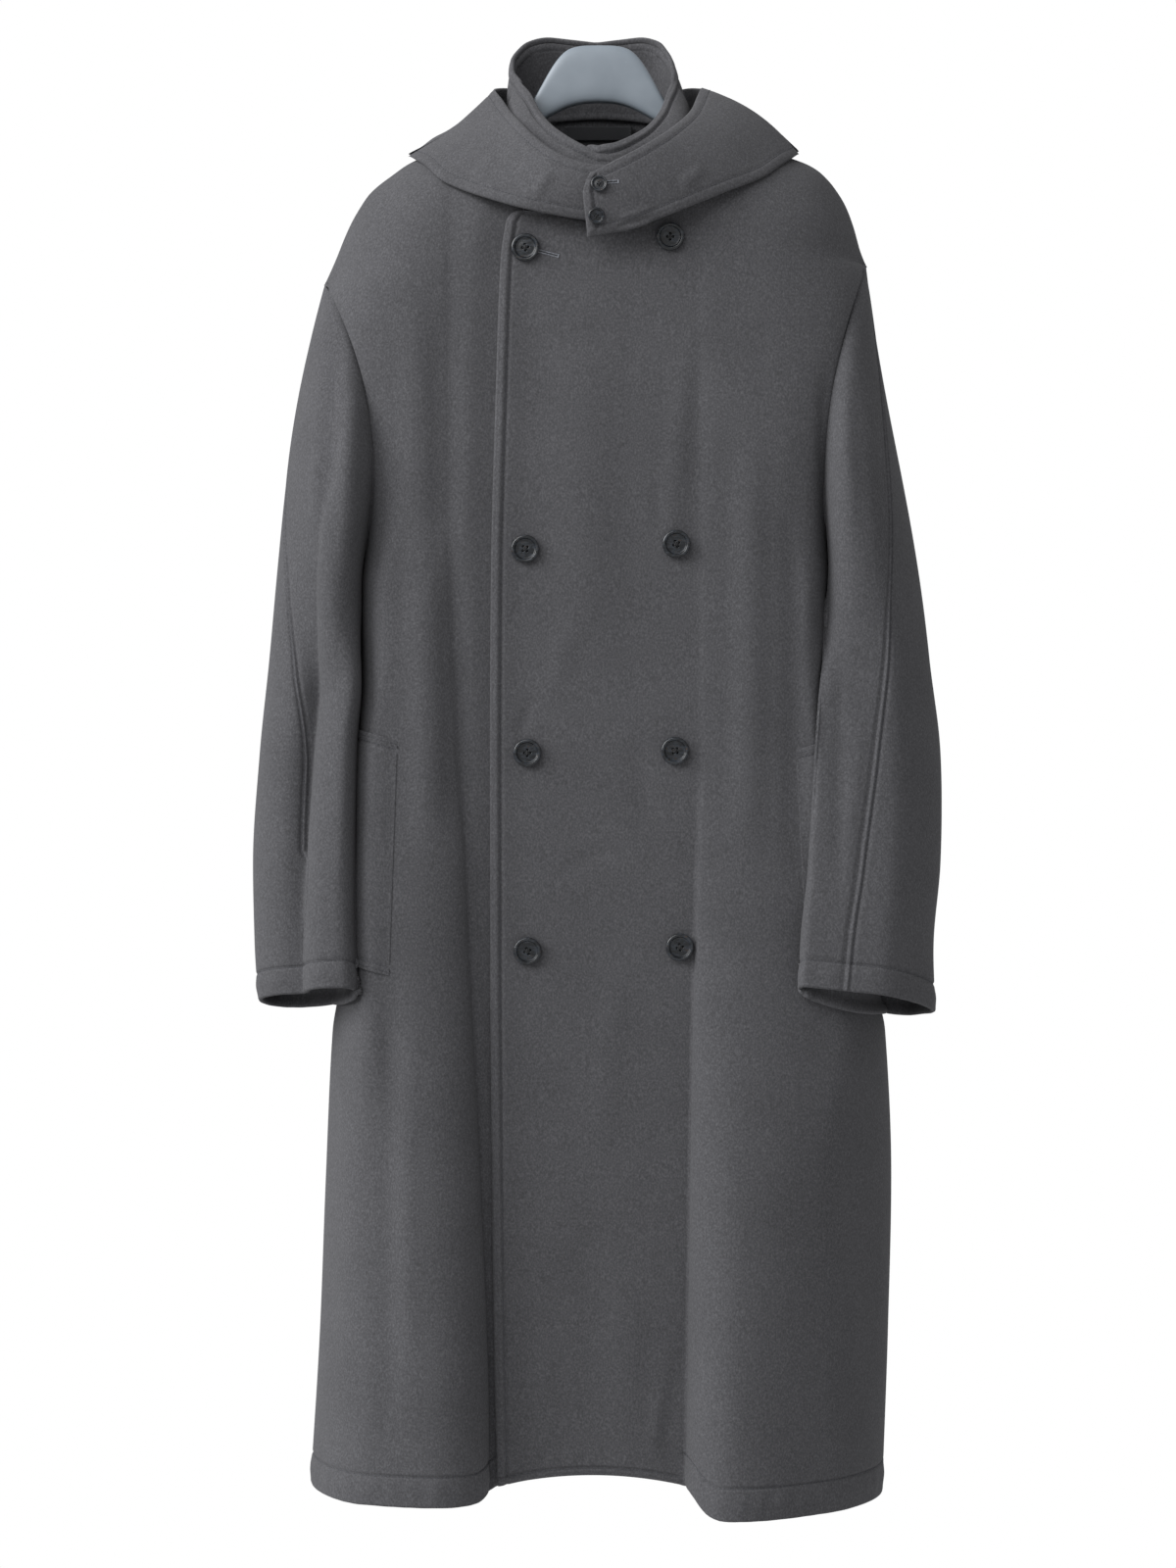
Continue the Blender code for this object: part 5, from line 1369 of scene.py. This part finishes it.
def add_collar():
    """The stand collar: two layers of cloth, stitched along the rim and down both ends."""
    grid = collar_grid()
    first, last, up, down = distances(grid)
    ends = np.minimum(first, last)
    lift = groove(np.minimum(ends, down), STITCH_IN) + seam_dip(up)
    grid = grid + lift[..., None] * normals(grid)
    way = normals(grid)
    lines = [only(line_in(grid, way, STITCH_IN, 0, last=True), ends[-1] > STITCH_IN)]
    for end in (False, True):
        lines.append(only(line_in(grid, way, STITCH_IN, 1, last=end), down[:, 0] > STITCH_IN))
    add_cloth("collar", grid, COLLAR_CLOTH, lines)


def add_throat(name, side):
    """A throat flap of the hood, with thick stitched edges. The left one has the latch's round corner."""
    steps = np.linspace(0, HOOD_JOIN - HOOD_GAP, THROAT_COLUMNS + 1)
    grid = hood_grid(side, steps, np.linspace(0, 1, THROAT_ROWS + 1))
    first, last, up, down = distances(grid)
    if side == LEFT:
        trim = LATCH_CORNER * (1 - (down[:, :1] / LATCH_DEPTH).clip(0, 1)) ** 2
        grid = cut(first + trim * (1 - ease(first / LATCH_CORNER_EASE)), grid)
        first, last, up, down = distances(grid)
    end, join = (first, last) if side == LEFT else (last, first)
    ends = np.minimum(up, down)
    lift = groove(end, STITCH_IN) * ease(ends / STITCH_IN)
    lift += HOOD_GROOVE * groove(ends, STITCH_IN) + seam_dip(join)
    lift += creases(THROAT_CREASES[side], grid[..., 0], grid[..., 2])
    lift *= corner_still(join, ends)
    grid = grid + lift[..., None] * normals(grid)
    way = normals(grid)
    inside = end[0] > STITCH_IN
    lines = [only(line_in(grid, way, STITCH_IN, 0, at_top), inside) for at_top in (False, True)]
    end_line = line_in(grid, way, STITCH_IN, 1, side == RIGHT)
    lines.append(only(end_line, ends[:, 0] > STITCH_IN))
    wall = edge_wall(np.minimum(ends, end)) * corner_thin(join, ends)
    add_cloth(f"hood_throat_{name}", grid, wall, lines)
    return grid


def add_pouch(name, side):
    """Half of the hood's pouch behind, up to its centre seam, stitched along the face edge."""
    steps = np.linspace(HOOD_JOIN + HOOD_GAP, 1, POUCH_COLUMNS + 1)
    grid = hood_grid(side, steps, np.linspace(0, 1, POUCH_ROWS + 1))
    centre = -1 if side == LEFT else 0
    grid[:, centre, 0] = side * SEAM / 2
    first, last, up, down = distances(grid)
    join = first if side == LEFT else last
    ends = np.minimum(up, down)
    lift = HOOD_GROOVE * groove(down, STITCH_IN) + seam_dip(first) + seam_dip(last)
    lift += creases(POUCH_CREASES, side * grid[..., 0], grid[..., 2])
    lift *= corner_still(join, ends)
    lift[:, centre] = 0
    grid = grid + lift[..., None] * normals(grid)
    face_line = line_in(grid, normals(grid), STITCH_IN, 0, True)
    add_cloth(f"hood_{name}", grid, edge_wall(down) * corner_thin(join, ends), [face_line])


def add_welt(name, side):
    """A pocket welt on a front: its surface moved out, with a double row of stitches at top and bottom."""
    welt = WELT[side]
    t = np.linspace(1, 0, WELT_ROWS + 1)[:, None]
    out = np.linspace(0, 1, WELT_COLUMNS + 1)[None, :]
    x = side * (mix(welt["top"][0], welt["bottom"][0], t) + WELT_WIDTH * out)
    z = mix(welt["top"][1], welt["bottom"][1], t) + WELT_RISE * out
    x, z = np.broadcast_arrays(x, z)
    points, way = front_frame(x, z)
    raised = mix(WELT_THIN, WELT_LIFT + CLOTH, ease(WELT_WIDTH * out / WELT_THIN_WIDTH))
    wall = np.broadcast_to(np.minimum(raised, CLOTH), x.shape)
    grid = points + (raised + creases(FRONT_CREASES, x, z))[..., None] * way
    if side == RIGHT:
        grid, wall = grid[:, ::-1], wall[:, ::-1]
    _, _, up, down = distances(grid)
    ends = np.minimum(up, down)
    inner, outer = 2 * WELT_STITCH + CLOTH, WELT_STITCH
    lift = groove(ends, outer) + groove(ends, inner)
    grid = grid + lift[..., None] * normals(grid)
    way = normals(grid)
    lines = []
    for distance in (outer, inner):
        lines += [line_in(grid, way, distance, 0, at_top) for at_top in (False, True)]
    add_cloth(f"pocket_welt_{name}", grid, wall, lines)


def add_label():
    """The bare ribbon label inside the back neck, facing forwards, stitched down at both ends."""
    across = np.linspace(LABEL_HALF, -LABEL_HALF, LABEL_COLUMNS + 1)[None, :]
    up = np.linspace(LABEL_BOTTOM, LABEL_TOP, LABEL_ROWS + 1)[:, None]
    x, z = np.broadcast_arrays(across, up)
    grid = np.stack([x, body_y(x, z, BACK) - CLOTH - LABEL_GAP, z], axis=-1)
    way = normals(grid)
    shown = grid - LABEL_THICK * way
    lines = [line_in(shown, -way, LABEL_STITCH, 1, end) for end in (False, True)]
    add_cloth("neck_label", grid, LABEL_THICK, lines, ribbon)


def across_and_up(normal):
    """Unit vectors across and up a surface with that normal."""
    right = unit(np.cross((0, 0, 1), normal))
    return right, np.cross(normal, right)


def button_mesh(place, normal, radius, height, tilt):
    """A turned button on a point: its profile spun round the normal, with four sunk holes in the face."""
    scale = radius / BUTTON_RADIUS
    right, up = across_and_up(normal)
    run = np.linspace(0, 1, BUTTON_ROWS + 1)[1:-1, None]
    turn = np.linspace(0, math.tau, BUTTON_TURNS, endpoint=False)[None, :]
    out, level = radius * read(BUTTON_PROFILE, "radius", run), height * read(BUTTON_PROFILE, "height", run)
    across, along = out * np.cos(turn), out * np.sin(turn)
    pits, ring = 0, scale * HOLE_RING
    for quarter in range(4):
        hole = math.radians(tilt) + quarter * math.pi / 2
        off = np.hypot(across - ring * math.cos(hole), along - ring * math.sin(hole))
        pits = pits + ease((scale * HOLE_RADIUS - off) / (scale * HOLE_EASE))
    level = level - scale * HOLE_DEPTH * pits * (run < HOLE_RUN)
    base = place + BUTTON_LIFT * normal
    rings = base + across[..., None] * right + along[..., None] * up + level[..., None] * normal
    face_middle = base + height * BUTTON_PROFILE["height"][0] * normal
    verts = np.concatenate([rings.reshape(-1, 3), [face_middle, base]])
    index = np.arange(rings.shape[0] * BUTTON_TURNS).reshape(-1, BUTTON_TURNS)
    faces = ring_faces(index)[:, ::-1].tolist()
    for row, pole, order in ((index[0], len(verts) - 2, 1), (index[-1], len(verts) - 1, -1)):
        faces += [[pole, a, b][::order] for a, b in zip(row.tolist(), np.roll(row, -1).tolist())]
    return verts, faces


def button_thread(place, normal, radius, height, tilt):
    """Two cords that cross over the face between opposite holes, and the shank between button and cloth."""
    scale = radius / BUTTON_RADIUS
    right, up = across_and_up(normal)
    face_middle = place + (BUTTON_LIFT + height * BUTTON_PROFILE["height"][0]) * normal
    parts = []
    t = np.linspace(-1, 1, CORD_POINTS)[:, None]
    for quarter in range(2):
        hole = math.radians(tilt) + quarter * math.pi / 2
        way = math.cos(hole) * right + math.sin(hole) * up
        bow = CORD_RISE + CORD_CROSS * quarter - CORD_DIP * np.abs(t) ** CORD_POWER
        path = face_middle + scale * (HOLE_RING * t * way + bow * normal)
        parts.append(tube(path, np.broadcast_to(normal, path.shape), scale * CORD_RADIUS))
    shank = place + np.linspace(-SHANK_SINK, BUTTON_LIFT + SHANK_OVER, SHANK_POINTS)[:, None] * normal
    parts.append(tube(shank, np.broadcast_to(right, shank.shape), scale * SHANK_RADIUS))
    return joined(parts)


def add_button(name, *shape):
    """A button that stands for its node, and the thread that holds it."""
    node = f"button_{name}"
    piece = add_piece(f"{node}_turned", *button_mesh(*shape), horn)
    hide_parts(node)
    add_piece(f"{node}_thread", *button_thread(*shape), black_thread_and_painted_shade)


def add_buttonhole(name, on_cloth, start, end):
    """A worked buttonhole: two beaded lips and a bar at its end, as cords on the cloth, and a sunk black
    cord down the middle as painted shade in its opening.
    """
    t = np.linspace(0, 1, LIP_POINTS)[:, None]
    line = mix(np.array(start), np.array(end), t) * MM
    along = unit(line[-1] - line[0])
    side = np.array([-along[1], along[0]])
    length = np.linalg.norm(line[-1] - line[0])
    beads = LIP_RADIUS * (1 + LIP_BEADED * np.sin(math.tau * t[:, 0] * length / LIP_BEAD))
    bar = line[-1] + np.linspace(-BAR_HALF, BAR_HALF, BAR_POINTS)[:, None] * LIP_OFF * side
    cords = [(line + way * LIP_OFF * side, LIP_RISE, beads) for way in (-1, 1)]
    cords += [(bar, BAR_RISE, BAR_SIZE * LIP_RADIUS), (line, -OPENING_SHADE_SINK, OPENING_SHADE_SIZE * LIP_RADIUS)]
    tubes = []
    for flat, rise, radius in cords:
        path, normal = on_cloth(flat)
        tubes.append(tube(path + rise * LIP_RADIUS * normal, normal, radius))
    *lips, opening_shade = tubes
    add_piece(f"buttonhole_{name}_lips", *joined(lips), twist)
    # a black cord in the buttonhole's opening: painted shade, not thread
    add_piece(f"buttonhole_{name}_slit", *opening_shade, black_thread_and_painted_shade)


def on_front(flat):
    """Points and normals of the creased fronts at rows of x and z."""
    x, z = flat.T
    points, way = front_frame(x, z)
    return points + creases(FRONT_CREASES, x, z)[:, None] * way, way


def on_grid(grid, place, normal, flat):
    """Points and normals of a grid at rows of steps across and up from a place on it, each moved onto the
    plane of the nearest grid point."""
    right, up = across_and_up(normal)
    level = place + flat[:, :1] * right + flat[:, 1:] * up
    corners = grid.reshape(-1, 3)
    near = np.argmin(np.linalg.norm(corners - level[:, None], axis=2), axis=1)
    way = normals(grid).reshape(-1, 3)[near]
    depth = np.sum((corners[near] - level) * way, axis=1, keepdims=True)
    return level + depth * way, way


def add_front_buttons():
    """The buttons of both fronts, and the buttonholes that show beside them."""
    for name, middle in FRONT_BUTTONS.items():
        place, normal = (found[0] for found in on_front(np.array([middle])))
        add_button(name, place, normal, BUTTON_RADIUS, BUTTON_HEIGHT, BUTTON_TILT[name])
        if name in BUTTONHOLES:
            add_buttonhole(name, lambda flat: on_front(np.array(middle) + flat), *BUTTONHOLES[name])


def add_throat_buttons(grid):
    """The latch's two buttons on the left throat flap, and the buttonhole beside the upper one."""
    way = normals(grid)
    columns = np.linspace(0, HOOD_JOIN - HOOD_GAP, THROAT_COLUMNS + 1)
    for name, (along, up) in THROAT_BUTTONS.items():
        row, column = round(up * THROAT_ROWS), int(np.argmin(np.abs(columns - along)))
        at = grid[row, column], way[row, column]
        add_button(f"throat_{name}", *at, THROAT_BUTTON_RADIUS, THROAT_BUTTON_HEIGHT, THROAT_TILT)
        if name == "upper":
            add_buttonhole(f"throat_{name}", lambda flat: on_grid(grid, *at, flat), *THROAT_BUTTONHOLE)


def add_hanger():
    """The hanger: a rounded square section carried along its arms, with a moulding line along the edge."""
    reach = HANGER["x"][-1]
    share = np.linspace(-1, 1, HANGER_COLUMNS + 1)
    x = reach * np.sign(share) * np.abs(share) ** HANGER_CROWD
    top, bottom = (read(HANGER, name, np.abs(x))[:, None] for name in ("top", "bottom"))
    turn = np.linspace(0, math.tau, HANGER_TURNS, endpoint=False)
    cosine, sine = np.cos(turn), np.sin(turn)
    square = (np.abs(cosine) ** HANGER_SQUARE + np.abs(sine) ** HANGER_SQUARE) ** (-1 / HANGER_SQUARE)
    line = 1 + MOULD_LINE * bump(np.abs(cosine * square) / MOULD_LINE_HALF)
    past = np.clip((np.abs(x) - reach + HANGER_END) / HANGER_END, 0, 1)
    end = np.sqrt(1 - past**2).clip(HANGER_TIP)[:, None]
    y = -HANGER_THICK / 2 * end * cosine * square
    z = (top + bottom) / 2 + (top - bottom) / 2 * end * sine * square * line
    verts = np.stack([np.broadcast_to(x[:, None], y.shape), y, z], axis=-1).reshape(-1, 3)
    ring = np.arange(len(verts)).reshape(-1, HANGER_TURNS)
    faces = ring_faces(ring)[:, ::-1].tolist() + [ring[0].tolist(), ring[-1, ::-1].tolist()]
    piece = add_piece("hanger_moulding", verts, faces, plastic)
    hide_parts("hanger")


def add_floor():
    """The pale floor: a level square well below the hem."""
    corners = np.array([(-1, -1, 0), (1, -1, 0), (1, 1, 0), (-1, 1, 0)], float) * FLOOR_HALF
    corners[:, 2] = FLOOR_Z
    mesh = bpy.data.meshes.new("studio_floor")
    mesh.from_pydata(corners, [], [(0, 1, 2, 3)])
    mesh.materials.append(studio_white())
    add_to_scene("studio_floor", mesh)


def add_light():
    """Surroundings that look white but light less, a broad sky from the left and a soft lamp in front."""
    world = bpy.data.worlds.new("studio")
    world.use_nodes = True
    tree = world.node_tree
    tree.nodes.remove(tree.nodes["Background"])
    white = {"Color": (1, 1, 1, 1)}
    around = add(tree, "ShaderNodeBackground", {**white, "Strength": WORLD_LIGHT}).outputs["Background"]
    seen = add(tree, "ShaderNodeBackground", {**white, "Strength": WORLD_SEEN}).outputs["Background"]
    ray = add(tree, "ShaderNodeLightPath").outputs["Is Camera Ray"]
    both = add(tree, "ShaderNodeMixShader", {0: ray, 1: around, 2: seen}).outputs["Shader"]
    tree.links.new(both, tree.nodes["World Output"].inputs["Surface"])
    bpy.context.scene.world = world
    sky = bpy.data.lights.new("sky", "SUN")
    sky.energy, sky.angle = SKY_LIGHT, math.radians(SKY_SOFT)
    add_to_scene("sky", sky).rotation_euler = Vector(SKY_FROM).to_track_quat("Z", "Y").to_euler()
    key = bpy.data.lights.new("key", "AREA")
    key.size, key.energy = KEY_SIZE, KEY_POWER
    lamp = add_to_scene("key", key)
    lamp.location = KEY_AT
    lamp.rotation_euler = (Vector(KEY_TARGET) - Vector(KEY_AT)).to_track_quat("-Z", "Y").to_euler()


def add_camera():
    """The camera, level and square to the front of the coat."""
    camera = bpy.data.cameras.new("camera")
    camera.lens, camera.sensor_fit = LENS, "VERTICAL"
    camera.sensor_height, camera.sensor_width = SENSOR, SENSOR
    eye = add_to_scene("camera", camera)
    eye.location, eye.rotation_euler = CAMERA_AT, (math.pi / 2, 0, 0)
    bpy.context.scene.camera = eye
    bpy.context.scene.view_settings.view_transform = "Standard"


throat_grids = {}
for side_name, side in SIDES.items():
    add_front(side_name, side)
    throat_grids[side] = add_throat(side_name, side)
    add_pouch(side_name, side)
    add_welt(side_name, side)
    for face_name, face in FACES.items():
        add_sleeve(side_name, side, face_name, face)
add_back()
add_collar()
add_label()
add_front_buttons()
add_throat_buttons(throat_grids[LEFT])
add_hanger()
add_floor()
add_light()
add_camera()
